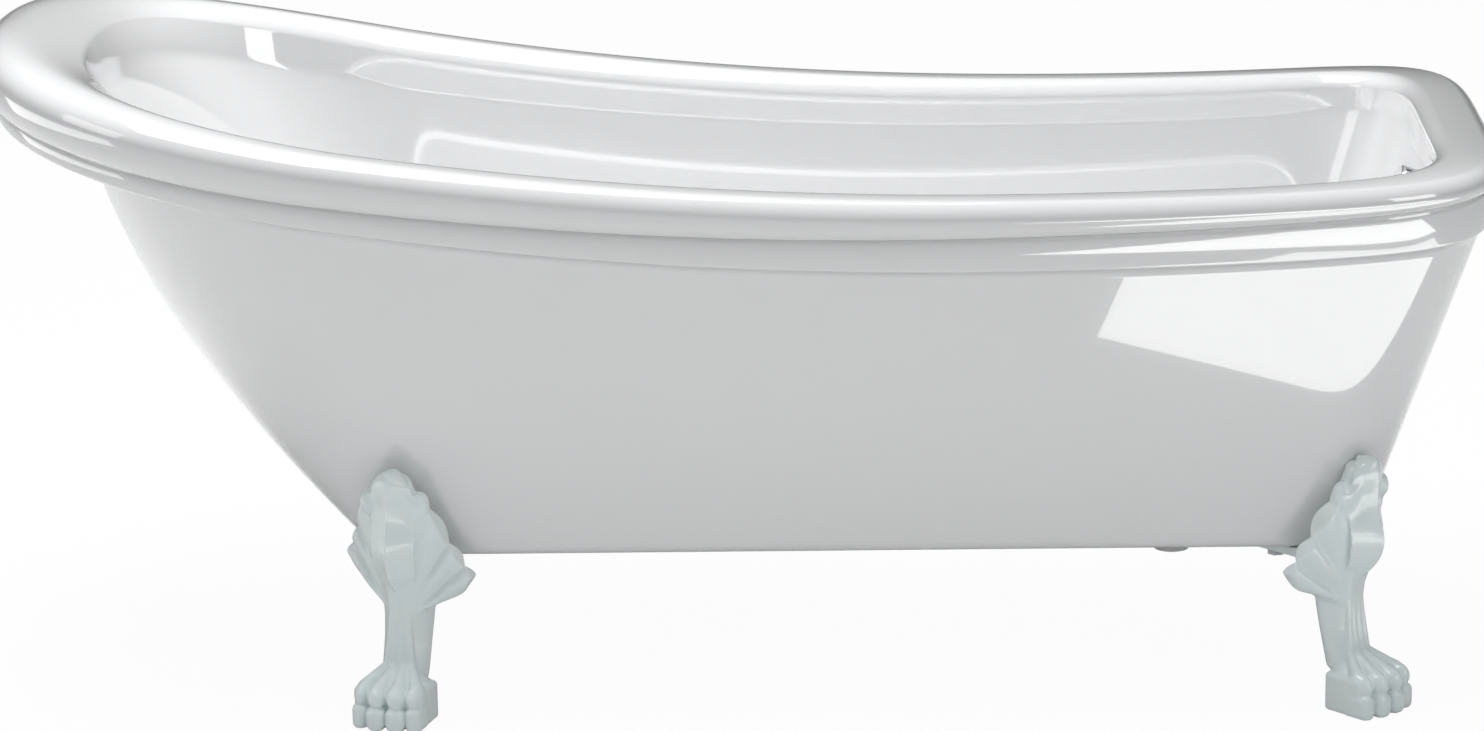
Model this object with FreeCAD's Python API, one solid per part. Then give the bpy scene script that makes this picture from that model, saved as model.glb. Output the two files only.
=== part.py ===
import FreeCAD, Part
import math
import os

# A clawfoot slipper bathtub, in millimetres. The origin is on the floor under the middle of
# the rim's length and width. +X points to the low foot end, -X to the raised slipper end,
# and +Z is up.

os.makedirs("parts", exist_ok=True)
Vector = FreeCAD.Vector

# ------------------------------------------------------------------ sizes of the rim
LENGTH = 1700.0  # over the rim, end to end
WIDTH = 750.0  # over the rim, half way along
SIDE_TAPER = 34.0  # how far each side draws in from the middle to the foot end
RIM_LOW_HEIGHT = 572.0  # height of the rim's widest line at its lowest place
RIM_LOW_SETBACK = 580.0  # where that is, back from the foot end
SLIPPER_RISE = 135.0  # how far the rim climbs from there to the slipper end
FOOT_RISE = 22.0  # and to the foot end
SLIPPER_NOSE = 433.0  # length of the rounded slipper end
SLIPPER_SQUARENESS = 2.41  # power of its superellipse
FOOT_NOSE = 289.0  # length of the rounded corners at the foot end
FOOT_SQUARENESS = 4.86
ROLL_GROWTH = 0.255  # share by which the roll thickens to the slipper end and thins to the foot

# ------------------------------------------------------------------ section of the roll
ROLL_WIDTH = 74.0  # from the widest line in to the wall of the basin
ROLL_HEIGHT = 22.0  # crown above the widest line
ROLL_OUTER_RADIUS = 25.0  # how far in the crown starts
ROLL_INNER_RADIUS = 30.0  # how far out of the wall the crown ends
ROLL_INNER_DROP = 25.0
ROLL_SHOULDER = 55.0  # how much further in the roll ends at the slipper end
ROLL_SKIRT_DROP = 50.0  # the roll's edge below the widest line, growing with the roll
ROLL_SKIRT_RISE = 26.9  # and above that by this much all round
ROLL_SKIRT_INSET = 4.3
BAND_STEP = 1.4  # how far the band steps in under the roll's edge
BAND_DROP = 53.5  # where the band under the roll turns in, below the widest line
BAND_INSET = 13.2
BAND_LIP_DEPTH = 5.0  # round lip at the foot of the band
BAND_UNDERCUT = 9.5  # from the lip in to the side of the tub
BAND_CROWN = 1.0  # how far the band swells beyond a straight line
BAND_THICKNESS = 7.0
UPSTAND_GAP = 2.2  # between the roll's skirt and the upstand inside it

# ------------------------------------------------------------------ sizes of the body
GROUND_CLEARANCE = 176.0  # floor to the flat bottom
BOTTOM_SLIPPER_SETBACK = 405.0  # from the rim's slipper end back to the flat bottom
BOTTOM_FOOT_SETBACK = 140.0
BOTTOM_WIDTH = 552.0
BOTTOM_SLIPPER_NOSE = 140.0
BOTTOM_FOOT_NOSE = 148.0
BOTTOM_EDGE_RADIUS = 14.0
SLIPPER_OVERHANG = 90.0  # how much further in the sides start under the slipper end
SLIPPER_BELLY = 52.0  # how far the sloping slipper end swells beyond a straight line
BASIN_THICKNESS = 5.0
BASIN_FLOOR_THICKNESS = 6.0
SHELL_THICKNESS = 5.0
BOARD_THICKNESS = 18.0
BASIN_SLIPPER_SETBACK = 470.0  # from the rim's end to where wall and floor would cross
BASIN_FOOT_SETBACK = 195.0
BASIN_FLOOR_WIDTH = 464.0
BASIN_SLIPPER_NOSE = 150.0
BASIN_FOOT_NOSE = 140.0
BOARD_EDGE_GAP = 2.0  # between the board and the foot of the sides
FLOOR_FILLET_INSET = 60.0  # from that crossing in to the flat floor
FLOOR_FILLET_RISE = 80.0  # and up to the straight wall

# ------------------------------------------------------------------ clearances
FIT = 0.3  # running clearance between close pieces
THREAD_GAP = 0.15  # between a thread and what it screws into
BOLT_HOLE_GAP = 0.5
WASTE_HOLE_GAP = 2.0  # round the barrel where it passes the basin
PIPE_HOLE_GAP = 3.0
CUT_THROUGH = 40.0  # length of a cutter that goes right through a skin

# ------------------------------------------------------------------ sizes of the legs
PAW_LENGTH = 58.0  # flat heel block, heel to toes
PAW_WIDTH = 74.0
PAW_TOP = 62.0
PAW_LIFT = 2.0  # paw above the floor, on its leveller
PAW_ROUNDING = 9.0  # how far the paw's top rounds in
PAW_SQUARENESS = 5.0
TOE_COUNT = 4
TOE_RADIUS = 11.5
TOE_TAPER = 2.0  # thinner beyond the knuckle
TOE_REACH = 38.0  # tips of the middle toes from the middle of the paw
TOE_STAGGER = 5.0  # outer toes shorter than those
TOE_FAN = 0.8  # spacing of the toes at their roots, as a share of that at their tips
KNUCKLE_SETBACK = 13.0  # from the tip of the toe
KNUCKLE_DROP = 5.0  # below the root of the toe
ANKLE_RADIUS = 21.0
KNEE_SWELL = 21.0  # how much thicker the leg is at its knee
KNEE_HEIGHT = 14.0  # above the flat bottom
KNEE_SPREAD = 36.0  # how far above and below it the swelling reaches
SHAFT_BREADTH = 1.12  # across the leg, as a share of its depth
SHAFT_SINK = 14.0  # shaft inside the paw
SHAFT_FOOT_DEPTH = -22.0  # middle of the shaft there, from the middle of the paw
SHAFT_BEND_DEPTH = -47.0  # middle of the shaft where it is furthest in
SHAFT_BEND_DROP = 43.0  # that place below the flat bottom
SHAFT_END_GAP = 4.0  # end of the shaft inside the top of the leaf
LEAF_HEIGHT = 114.0  # top of the leaf above the flat bottom
LEAF_DROP = 48.0  # its foot below the flat bottom
LEAF_TOP_DEPTH = -4.0
LEAF_BREADTH = 144.0  # over both wing tips
LEAF_FULLNESS = 1.7  # power of the curve from its middle to the wing tips
LEAF_THICKNESS = 60.0
LEAF_LEAN = 0.3  # outward slope of the leaf, as the tub's side slopes
WING_TIP_DROP = 5.0  # middle of a wing tip below the flat bottom
WING_TIP_RADIUS = 7.0
WING_TIP_SETBACK = 22.0  # wing tips further in than the leaf's middle
SLIPPER_LEG_SETBACK = 75.0  # middle of the paw from the flat bottom's slipper end
SLIPPER_LEG_YAW = 16.0  # degrees that the leg turns from square across the tub
SLIPPER_LEG_REACH = 52.0  # middle of the paw outside the edge of the flat bottom
FOOT_LEG_END_GAP = 6.0  # middle of the paw short of the bottom's foot end
FOOT_LEG_YAW = 44.0
FOOT_LEG_REACH = 33.0
LEDGE_THICKNESS = 10.0
LEDGE_WIDTH = 70.0
LEDGE_END = 20.0  # tongue beyond the middle of its bolts
LEG_BOLT_SETBACK = 122.0  # from the middle of the paw
LEG_BOLT_SPACING = 36.0
LEG_BOLT_RADIUS = 5.0
LEG_BOLT_LENGTH = 28.0
LEG_BOLT_FLATS = 17.0
LEG_BOLT_HEAD = 6.4
LEG_WASHER_RADIUS = 10.0
LEG_WASHER_THICKNESS = 2.0
PLATE_LENGTH = 64.0
PLATE_WIDTH = 44.0
PLATE_THICKNESS = 6.0
LEVELLER_PAD_RADIUS = 16.0
LEVELLER_PAD_HEIGHT = 5.0
LEVELLER_PAD_CHAMFER = 1.0
LEVELLER_PAD_GAP = 1.5  # round and above the pad in its recess
LEVELLER_STUD_RADIUS = 5.0
LEVELLER_TRAVEL = 12.0
LEVELLER_GRIP = 20.0  # stud still in the leg when it is right out

# ------------------------------------------------------------------ waste and overflow
WASTE_FROM_FOOT_END = 350.0
WASTE_OPENING_RADIUS = 50.0  # through the shell and the board
WASTE_FLANGE_RADIUS = 35.0
WASTE_FLANGE_THICKNESS = 3.0
WASTE_BARREL_RADIUS = 23.0
WASTE_BARREL_WALL = 3.0
WASTE_BARREL_LENGTH = 48.0
WASTE_GASKET_RADIUS = 34.0
WASTE_GASKET_THICKNESS = 1.5
WASTE_WASHER_RADIUS = 33.0
WASTE_WASHER_THICKNESS = 3.0
WASTE_NUT_FLATS = 60.0
WASTE_NUT_THICKNESS = 8.0
WASTE_BODY_RADIUS = 28.0
WASTE_BODY_DROP = 50.0  # body below the flat bottom of the tub
WASTE_TAIL_RADIUS = 20.0
WASTE_TAIL_LENGTH = 26.0
WEB_BARS = 4
WEB_THICKNESS = 3.0
WEB_HEIGHT = 14.0
WEB_DEPTH = 28.0  # foot of the web below the flange's top
PLUG_RADIUS = 31.0
PLUG_THICKNESS = 6.0
PLUG_DOME = 2.4
PLUG_BOSS_RADIUS = 16.5
PLUG_BOSS_DEPTH = 6.0
PLUG_SEAL_HEIGHT = 3.0
PLUG_SEAL_DROP = 4.2  # foot of the seal below the plug
PLUG_STEM_RADIUS = 6.0
PLUG_TRAVEL = 10.0
PLUG_STEM_KEPT = 10.0  # stem still in its guide when the plug is up
PORT_GAP = 1.5  # wall of a socket beyond the pipe's own
PORT_LENGTH = 18.0  # side port beyond the waste body
PORT_SOCKET = 14.0  # how deep a pipe's socket is
OVERFLOW_DROP = 78.0  # middle of the overflow below the rim's widest line
OVERFLOW_HOLE_RADIUS = 19.0
OVERFLOW_COVER_RADIUS = 35.0
OVERFLOW_COVER_STANDOFF = 9.0
OVERFLOW_COVER_SHEET = 2.5
OVERFLOW_SLOTS = 6
OVERFLOW_SLOT_WIDTH = 20.0
OVERFLOW_SLOT_LEDGE = 2.0  # sheet left between a slot and the face of the cover
OVERFLOW_GASKET_THICKNESS = 2.5
OVERFLOW_FLANGE_RADIUS = 29.0
OVERFLOW_FLANGE_THICKNESS = 4.0
OVERFLOW_CUP_DEPTH = 30.0
OVERFLOW_CUP_WALL = 3.0
OVERFLOW_SCREW_RADIUS = 2.5
OVERFLOW_SCREW_GRIP = 12.0  # screw in the cup's post
OVERFLOW_SCREW_SLOT = 1.2
OVERFLOW_POST_RADIUS = 5.0
SPIGOT_END = 42.0  # end of the cup's spigot from the overflow's axis
PIPE_RADIUS = 12.5
PIPE_WALL = 2.0
PIPE_BEND_RADIUS = 28.0
PIPE_TURN_RADIUS = 60.0
PIPE_SEATING = 1.0  # end of the pipe short of the bottom of its socket
PIPE_NUT_LENGTH = 10.0
PIPE_PASS_SETBACK = 34.0  # where the pipe passes the bottom, from its foot end
PIPE_DROP = 26.0  # middle of the pipe below the flat bottom

# ------------------------------------------------------------------ places worked out
SHELL_FLOOR = GROUND_CLEARANCE + SHELL_THICKNESS
BOARD_TOP = SHELL_FLOOR + BOARD_THICKNESS
BASIN_FLOOR = BOARD_TOP + BASIN_FLOOR_THICKNESS
TAPER = 2 * SIDE_TAPER / WIDTH
STEP_RISE = ROLL_SKIRT_RISE - FIT
STEP_INSET = ROLL_SKIRT_INSET + BAND_STEP
LIP_LIFT = -BAND_DROP - BAND_LIP_DEPTH
UPSTAND_LIFT = ROLL_HEIGHT - BASIN_THICKNESS - FIT
UPSTAND_INSET = ROLL_SKIRT_INSET + BASIN_THICKNESS + UPSTAND_GAP
BOLT_SEAT = GROUND_CLEARANCE - LEDGE_THICKNESS - LEG_WASHER_THICKNESS
BOLT_HOLE_RADIUS = LEG_BOLT_RADIUS + BOLT_HOLE_GAP
BOLT_THREAD_RADIUS = LEG_BOLT_RADIUS + THREAD_GAP
LEVELLER_STUD_TOP = LEVELLER_PAD_HEIGHT + LEVELLER_TRAVEL + LEVELLER_GRIP
WASTE_X = LENGTH / 2 - WASTE_FROM_FOOT_END
FLANGE_FOOT = BASIN_FLOOR + WASTE_GASKET_THICKNESS
FLANGE_TOP = FLANGE_FOOT + WASTE_FLANGE_THICKNESS
BARREL_FOOT = FLANGE_FOOT - WASTE_BARREL_LENGTH
BARREL_BORE = WASTE_BARREL_RADIUS - WASTE_BARREL_WALL
WASHER_FOOT = BOARD_TOP - WASTE_WASHER_THICKNESS
NUT_FOOT = WASHER_FOOT - WASTE_NUT_THICKNESS
WASTE_BODY_FOOT = GROUND_CLEARANCE - WASTE_BODY_DROP
PLUG_FOOT = FLANGE_TOP + FIT
PIPE_LEVEL = GROUND_CLEARANCE - PIPE_DROP
PIPE_PASS_X = LENGTH / 2 - BOTTOM_FOOT_SETBACK - PIPE_PASS_SETBACK
PORT_RADIUS = PIPE_RADIUS + PIPE_WALL + PORT_GAP
PORT_END = WASTE_X + WASTE_BODY_RADIUS + PORT_LENGTH
SCREW_HOLE_RADIUS = OVERFLOW_SCREW_RADIUS + THREAD_GAP

# The rings that the shells are lofted through have one point at each of these stations,
# given for the half from the slipper end round to the foot end.
SLIPPER_STATIONS = 9
SIDE_STATIONS = 7
FOOT_STATIONS = 10
# Sections of the lofts that a leg is made of, points round each, and how far above the leaf
# the tub's side is carried to cut it.
OVAL_POINTS = 16
SHAFT_STATIONS = 12
LEAF_STATIONS = 5
PAW_STATIONS = 5
CORE_SPARE = 20.0


def superellipse(angle, power):
    """Point of a superellipse of unit size on the ray at an angle."""
    along = math.cos(angle)
    across = math.sin(angle)
    reach = (abs(along) ** power + abs(across) ** power) ** (-1 / power)
    return along * reach, across * reach


class Plan:
    """A tub's outline from above: two rounded ends joined by tapering straight sides."""

    def __init__(self, slipper_end, foot_end, half_width, slipper_nose, foot_nose):
        self.slipper_end = slipper_end
        self.foot_end = foot_end
        self.half_width = half_width
        self.slipper_nose = slipper_nose
        self.foot_nose = foot_nose

    def shrunk(self, inset):
        return Plan(
            self.slipper_end + inset,
            self.foot_end - inset,
            self.half_width - inset,
            self.slipper_nose - inset,
            self.foot_nose - inset,
        )

    def narrowed(self, x, half):
        return half * (1 - TAPER * x / (LENGTH / 2))

    def half_at(self, x):
        """Half width of the straight sides at x."""
        return self.narrowed(x, self.half_width)

    def points(self):
        """Points round the outline, slipper end first, then the +Y side."""
        side_start = self.slipper_end + self.slipper_nose
        side_end = self.foot_end - self.foot_nose
        half = []
        for step in range(SLIPPER_STATIONS):
            angle = math.pi / 2 * step / SLIPPER_STATIONS
            along, across = superellipse(angle, SLIPPER_SQUARENESS)
            half.append((side_start - self.slipper_nose * along, self.half_width * across))
        for step in range(SIDE_STATIONS + 1):
            x = side_start + (side_end - side_start) * step / SIDE_STATIONS
            half.append((x, self.half_width))
        for step in range(FOOT_STATIONS):
            angle = math.pi / 2 * (1 - (step + 1) / FOOT_STATIONS)
            along, across = superellipse(angle, FOOT_SQUARENESS)
            half.append((side_end + self.foot_nose * along, self.half_width * across))
        near = [(x, self.narrowed(x, y)) for x, y in half]
        return near + [(x, -y) for x, y in near[-2:0:-1]]


RIM_PLAN = Plan(-LENGTH / 2, LENGTH / 2, WIDTH / 2, SLIPPER_NOSE, FOOT_NOSE)
BOTTOM_PLAN = Plan(
    BOTTOM_SLIPPER_SETBACK - LENGTH / 2,
    LENGTH / 2 - BOTTOM_FOOT_SETBACK,
    BOTTOM_WIDTH / 2,
    BOTTOM_SLIPPER_NOSE,
    BOTTOM_FOOT_NOSE,
)
BASIN_PLAN = Plan(
    BASIN_SLIPPER_SETBACK - LENGTH / 2,
    LENGTH / 2 - BASIN_FOOT_SETBACK,
    BASIN_FLOOR_WIDTH / 2,
    BASIN_SLIPPER_NOSE,
    BASIN_FOOT_NOSE,
)


def rim_height(x):
    """Height of the rim's widest line: two parabolas that meet at its lowest place."""
    low_place = LENGTH / 2 - RIM_LOW_SETBACK
    if x < low_place:
        reach = LENGTH - RIM_LOW_SETBACK
        rise = SLIPPER_RISE
    else:
        reach = RIM_LOW_SETBACK
        rise = FOOT_RISE
    return RIM_LOW_HEIGHT + rise * ((x - low_place) / reach) ** 2


def roll_size(x):
    """Size of the roll at x, as a share of its size half way along."""
    return 1 - ROLL_GROWTH * x / (LENGTH / 2)


def rim_ring(inset, lift, fixed_inset=0.0, fixed_lift=0.0):
    """Points of a line that follows the rim.

    inset and lift are measured from the widest line and grow with the roll, and the fixed
    ones are the same all round.
    """
    outer = RIM_PLAN.points()
    inner = RIM_PLAN.shrunk(1.0).points()
    ring = []
    for (x, y), (inner_x, inner_y) in zip(outer, inner):
        size = roll_size(x)
        step = inset * size + fixed_inset
        place = Vector(x + (inner_x - x) * step, y + (inner_y - y) * step, 0)
        place.z = rim_height(x) + lift * size + fixed_lift
        ring.append(place)
    return ring


def belly_shares():
    """How much each station of a ring takes part in the shape of the slipper end."""
    shares = []
    for x, y in RIM_PLAN.points():
        depth = (SLIPPER_NOSE - LENGTH / 2 - x) / SLIPPER_NOSE
        shares.append(max(depth, 0) ** 2)
    return shares


BELLY_SHARES = belly_shares()


def tucked(ring, amount):
    """The ring with its slipper end drawn in towards the foot end by at most an amount."""
    return [place + Vector(amount * share, 0, 0) for place, share in zip(ring, BELLY_SHARES)]


def level_ring(plan, height):
    return [Vector(x, y, height) for x, y in plan.points()]


def between(start, end, share):
    return [a + (b - a) * share for a, b in zip(start, end)]


def bent(start, corner, end, share):
    """Points of a quadratic curve from start to end that leans towards the corner."""
    return between(between(start, corner, share), between(corner, end, share), share)


def raised(ring, foot, height):
    """Points on the straight lines from foot to ring, a height above the foot."""
    return [low + (high - low) * (height / (high.z - low.z)) for high, low in zip(ring, foot)]


def ring_shares():
    """Share of the way round at each station, the same for every ring."""
    ring = level_ring(RIM_PLAN, 0)
    lengths = [(b - a).Length for a, b in zip(ring, ring[1:] + ring[:1])]
    shares = [0.0]
    for length in lengths:
        shares.append(shares[-1] + length / sum(lengths))
    return shares


RING_SHARES = ring_shares()


def wire_of(ring):
    curve = Part.BSplineCurve()
    curve.interpolate(Points=ring, PeriodicFlag=True, Parameters=RING_SHARES)
    return Part.Wire(curve.toShape())


def skin(*bands):
    """Faces through bands of rings, each band smooth and starting where the last one ends."""
    faces = []
    start = []
    for band in bands:
        rings = start + band
        straight = len(rings) == 2
        faces += Part.makeLoft([wire_of(ring) for ring in rings], False, straight).Faces
        start = [rings[-1]]
    return faces


def solid_of(faces):
    shell = Part.makeShell(faces)
    shell.sewShape()
    solid = Part.makeSolid(shell)
    if solid.Volume < 0:
        solid.reverse()
    return solid


def cylinder(radius, height, x, y, z):
    return Part.makeCylinder(radius, height, Vector(x, y, z))


def ring_piece(outer_radius, inner_radius, height, x, y, z):
    return cylinder(outer_radius, height, x, y, z).cut(cylinder(inner_radius, height, x, y, z))


# ------------------------------------------------------------------ the basin
def roll_outside(shrink):
    """Rings up the outside of the roll to its crown, moved in by a wall's thickness."""
    radius = ROLL_OUTER_RADIUS - shrink
    height = ROLL_HEIGHT - shrink
    rings = []
    for degrees in (0, 30, 60, 90):
        angle = math.radians(degrees)
        inset = ROLL_OUTER_RADIUS - radius * math.cos(angle)
        rings.append(rim_ring(inset, height * math.sin(angle)))
    return rings


def roll_inside(shrink):
    """Rings from the crown down the inside of the roll to the top of the wall."""
    radius = ROLL_INNER_RADIUS - shrink
    drop = ROLL_INNER_DROP - shrink
    rings = []
    for degrees in (0, 25, 50, 72):
        angle = math.radians(degrees)
        inset = radius * math.sin(angle) - ROLL_INNER_RADIUS
        lift = ROLL_HEIGHT - ROLL_INNER_DROP + drop * math.cos(angle)
        ring = rim_ring(inset, lift, fixed_inset=ROLL_WIDTH)
        rings.append(tucked(ring, ROLL_SHOULDER * (1 - math.cos(angle))))
    return rings


def basin_crossing(grow, height):
    """Ring where the wall and the floor would cross, grown outwards."""
    return level_ring(BASIN_PLAN.shrunk(-grow), height)


def basin_floor_plan(grow):
    inset = FLOOR_FILLET_INSET - grow
    return Plan(
        BASIN_PLAN.slipper_end + inset,
        BASIN_PLAN.foot_end - inset,
        BASIN_PLAN.half_width - inset,
        BASIN_SLIPPER_NOSE,
        BASIN_FOOT_NOSE,
    )


def basin_wall(grow, floor_height):
    """Rings down the wall and round the fillet to the flat floor."""
    edge = rim_ring(0, ROLL_HEIGHT - 2 * ROLL_INNER_DROP, ROLL_WIDTH - grow)
    top = tucked(edge, ROLL_SHOULDER)
    fillet_top = raised(top, basin_crossing(grow, BASIN_FLOOR), FLOOR_FILLET_RISE)
    corner = basin_crossing(grow, floor_height)
    flat = level_ring(basin_floor_plan(grow), floor_height)
    wall = [between(top, fillet_top, share) for share in (0, 0.33, 0.67, 1)]
    fillet = [bent(fillet_top, corner, flat, share) for share in (0.2, 0.4, 0.6, 0.8, 1)]
    return wall, fillet


def basin_face(shrink, skirt_inset, floor_height):
    """One face of the basin's skin, from the edge of the roll to the rim of the flat floor."""
    half_inset = ROLL_SKIRT_INSET / 4 + shrink
    skirt = [
        rim_ring(skirt_inset, -ROLL_SKIRT_DROP, fixed_lift=ROLL_SKIRT_RISE),
        rim_ring(half_inset, -ROLL_SKIRT_DROP / 2, fixed_lift=ROLL_SKIRT_RISE / 2),
    ]
    crown = roll_inside(shrink)
    wall, fillet = basin_wall(shrink, floor_height)
    roll = skirt + roll_outside(shrink)
    faces = skin(roll, crown[:1], crown[1:] + wall[:1], wall[1:], fillet)
    return skirt[0], fillet[-1], faces


def make_basin():
    """The basin that holds the water: one formed skin with its rolled rim."""
    wet_edge, wet_floor, faces = basin_face(0.0, ROLL_SKIRT_INSET, BASIN_FLOOR)
    back_inset = ROLL_SKIRT_INSET + BASIN_THICKNESS
    back_edge, back_floor, back_faces = basin_face(BASIN_THICKNESS, back_inset, BOARD_TOP)
    faces += back_faces + skin([wet_edge, back_edge])
    faces += [Part.Face(wire_of(wet_floor)), Part.Face(wire_of(back_floor))]
    return solid_of(faces)


# ------------------------------------------------------------------ the outer shell
class Side:
    """The side of the tub between its bottom corner and the lip under the band."""

    def __init__(self, grow, bottom_height):
        self.foot = level_ring(BOTTOM_PLAN.shrunk(-grow), bottom_height)
        edge = rim_ring(BAND_INSET + BAND_UNDERCUT, 0.0, -grow, LIP_LIFT - grow)
        self.top = tucked(edge, SLIPPER_OVERHANG)
        self.radius = BOTTOM_EDGE_RADIUS + grow
        self.flat = level_ring(BOTTOM_PLAN.shrunk(BOTTOM_EDGE_RADIUS), bottom_height)

    def shifted(self, low, high, share, belly):
        place = low + (high - low) * share
        place.x -= SLIPPER_BELLY * belly * 4 * share * (1 - share)
        return place

    def at_share(self, share):
        rows = zip(self.foot, self.top, BELLY_SHARES)
        return [self.shifted(low, high, share, belly) for low, high, belly in rows]

    def at_height(self, height):
        """Ring a height above the bottom, level all round."""
        ring = []
        for low, high, belly in zip(self.foot, self.top, BELLY_SHARES):
            ring.append(self.shifted(low, high, height / (high.z - low.z), belly))
        return ring

    def edge(self):
        """Rings round the bottom edge, from the flat bottom to the side."""
        end = self.at_height(self.radius)
        return [bent(self.flat, self.foot, end, share) for share in (0, 0.33, 0.67, 1)]

    def wall(self):
        return [self.at_share(share) for share in (0.35, 0.7, 1)]


def band_outside():
    """Bands of rings up the lip and the face of the band, and over its upstand."""
    lip_foot = rim_ring(BAND_INSET + BAND_LIP_DEPTH, 0.0, fixed_lift=LIP_LIFT)
    lip_corner = rim_ring(BAND_INSET, 0.0, fixed_lift=LIP_LIFT)
    lip_top = rim_ring(BAND_INSET, 0.0, fixed_lift=-BAND_DROP)
    lip = [bent(lip_foot, lip_corner, lip_top, share) for share in (0.5, 1)]
    half_rise = (STEP_RISE - BAND_DROP) / 2
    half_inset = (BAND_INSET + STEP_INSET) / 2 - BAND_CROWN
    crown = rim_ring(half_inset, -ROLL_SKIRT_DROP / 2, fixed_lift=half_rise)
    step = rim_ring(STEP_INSET, -ROLL_SKIRT_DROP, fixed_lift=STEP_RISE)
    upstand_foot = rim_ring(UPSTAND_INSET, -ROLL_SKIRT_DROP, fixed_lift=STEP_RISE)
    upstand_top = rim_ring(ROLL_OUTER_RADIUS, UPSTAND_LIFT)
    return [lip_foot], lip, [crown, step], [upstand_foot], [upstand_top]


def band_inside():
    """Rings down the back of the upstand and the band to the side's inner face."""
    foot_inset = UPSTAND_INSET + BAND_THICKNESS
    half_inset = (BAND_INSET + STEP_INSET) / 2 + BAND_THICKNESS
    half_rise = (STEP_RISE - BAND_DROP) / 2
    return [
        rim_ring(ROLL_OUTER_RADIUS + BAND_THICKNESS, UPSTAND_LIFT),
        rim_ring(foot_inset, -ROLL_SKIRT_DROP, fixed_lift=STEP_RISE),
        rim_ring(half_inset, -ROLL_SKIRT_DROP / 2, fixed_lift=half_rise),
        rim_ring(BAND_INSET + BAND_THICKNESS, 0.0, fixed_lift=-BAND_DROP),
    ]


def make_outer_shell():
    """The outer skin: flat bottom, sloping sides, and the band that carries the roll."""
    outside = Side(0.0, GROUND_CLEARANCE)
    inside = Side(-SHELL_THICKNESS, SHELL_FLOOR)
    inner_wall = inside.wall()
    back = band_inside()
    faces = skin(outside.edge(), outside.wall(), *band_outside(), back[:1])
    back.append(inner_wall[-1])
    for start, end in zip(back, back[1:]):
        faces += skin([start, end])
    faces += skin(inside.edge(), inner_wall)
    faces += [Part.Face(wire_of(outside.flat)), Part.Face(wire_of(inside.flat))]
    return solid_of(faces)


def make_base_board():
    """The board between the two skins' floors, which the legs are bolted to."""
    plan = BOTTOM_PLAN.shrunk(BOTTOM_EDGE_RADIUS + BOARD_EDGE_GAP)
    top = Part.Face(wire_of(level_ring(plan, BOARD_TOP)))
    return top.extrude(Vector(0, 0, -BOARD_THICKNESS))


# ------------------------------------------------------------------ the legs
def oval(centre, depth_way, width_way, power=2.0):
    """Closed superellipse wire; the two ways reach from its centre to its edge."""
    points = []
    for step in range(OVAL_POINTS):
        depth, width = superellipse(2 * math.pi * step / OVAL_POINTS, power)
        points.append(centre + depth_way * depth + width_way * width)
    curve = Part.BSplineCurve()
    curve.interpolate(Points=points, PeriodicFlag=True)
    return Part.Wire(curve.toShape())


def level_oval(height, middle, half_depth, half_width, power=2.0):
    centre = Vector(middle, 0, height)
    return oval(centre, Vector(half_depth, 0, 0), Vector(0, half_width, 0), power)


def shaft_middle(height):
    """How far out the shaft's middle is: in from the paw, then out again with the leaf."""
    bend = GROUND_CLEARANCE - SHAFT_BEND_DROP
    if height < bend:
        share = (bend - height) / (bend - PAW_TOP + SHAFT_SINK)
        return SHAFT_BEND_DEPTH + (SHAFT_FOOT_DEPTH - SHAFT_BEND_DEPTH) * share**1.5
    share = (height - bend) / (SHAFT_BEND_DROP + LEAF_HEIGHT)
    eased = (1 - math.cos(math.pi * share)) / 2
    return SHAFT_BEND_DEPTH + (LEAF_TOP_DEPTH - SHAFT_BEND_DEPTH) * eased


def shaft_radius(height):
    """Thickest at the knee, and rounded off at the top of the leaf."""
    reach = (height - GROUND_CLEARANCE - KNEE_HEIGHT) / KNEE_SPREAD
    radius = ANKLE_RADIUS + KNEE_SWELL * math.exp(-(reach**2))
    rounding = max(height - GROUND_CLEARANCE, 0) / LEAF_HEIGHT
    return radius * math.sqrt(1 - rounding**4)


def leg_shaft():
    """Shaft and knee of a leg, from the paw up; depth runs outwards from the tub."""
    foot = PAW_TOP - SHAFT_SINK
    end = GROUND_CLEARANCE + LEAF_HEIGHT - SHAFT_END_GAP
    sections = []
    for step in range(SHAFT_STATIONS + 1):
        height = foot + (end - foot) * step / SHAFT_STATIONS
        radius = shaft_radius(height)
        sections.append(level_oval(height, shaft_middle(height), radius, radius * SHAFT_BREADTH))
    return Part.makeLoft(sections, True, False)


def leg_leaf():
    """The leaf against the side of the tub, as one loft from wing tip to wing tip."""
    middle_level = GROUND_CLEARANCE + (LEAF_HEIGHT - LEAF_DROP) / 2
    middle_depth = LEAF_TOP_DEPTH - LEAF_LEAN * (LEAF_HEIGHT + LEAF_DROP) / 2
    tip_level = GROUND_CLEARANCE - WING_TIP_DROP
    sections = []
    for step in range(-LEAF_STATIONS, LEAF_STATIONS + 1):
        middle = 1 - (abs(step) / LEAF_STATIONS) ** LEAF_FULLNESS
        tip = 1 - middle
        level = middle * middle_level + tip * tip_level
        half_height = middle * (LEAF_HEIGHT + LEAF_DROP) / 2 + tip * WING_TIP_RADIUS
        half_depth = middle * LEAF_THICKNESS / 2 + tip * WING_TIP_RADIUS
        depth = middle_depth - LEAF_LEAN * (middle_level - level) - WING_TIP_SETBACK * tip
        centre = Vector(depth, LEAF_BREADTH / 2 * step / LEAF_STATIONS, level)
        up = Vector(LEAF_LEAN * half_height, 0, half_height)
        sections.append(oval(centre, Vector(half_depth, 0, 0), up))
    return Part.makeLoft(sections, True, False)


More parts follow.
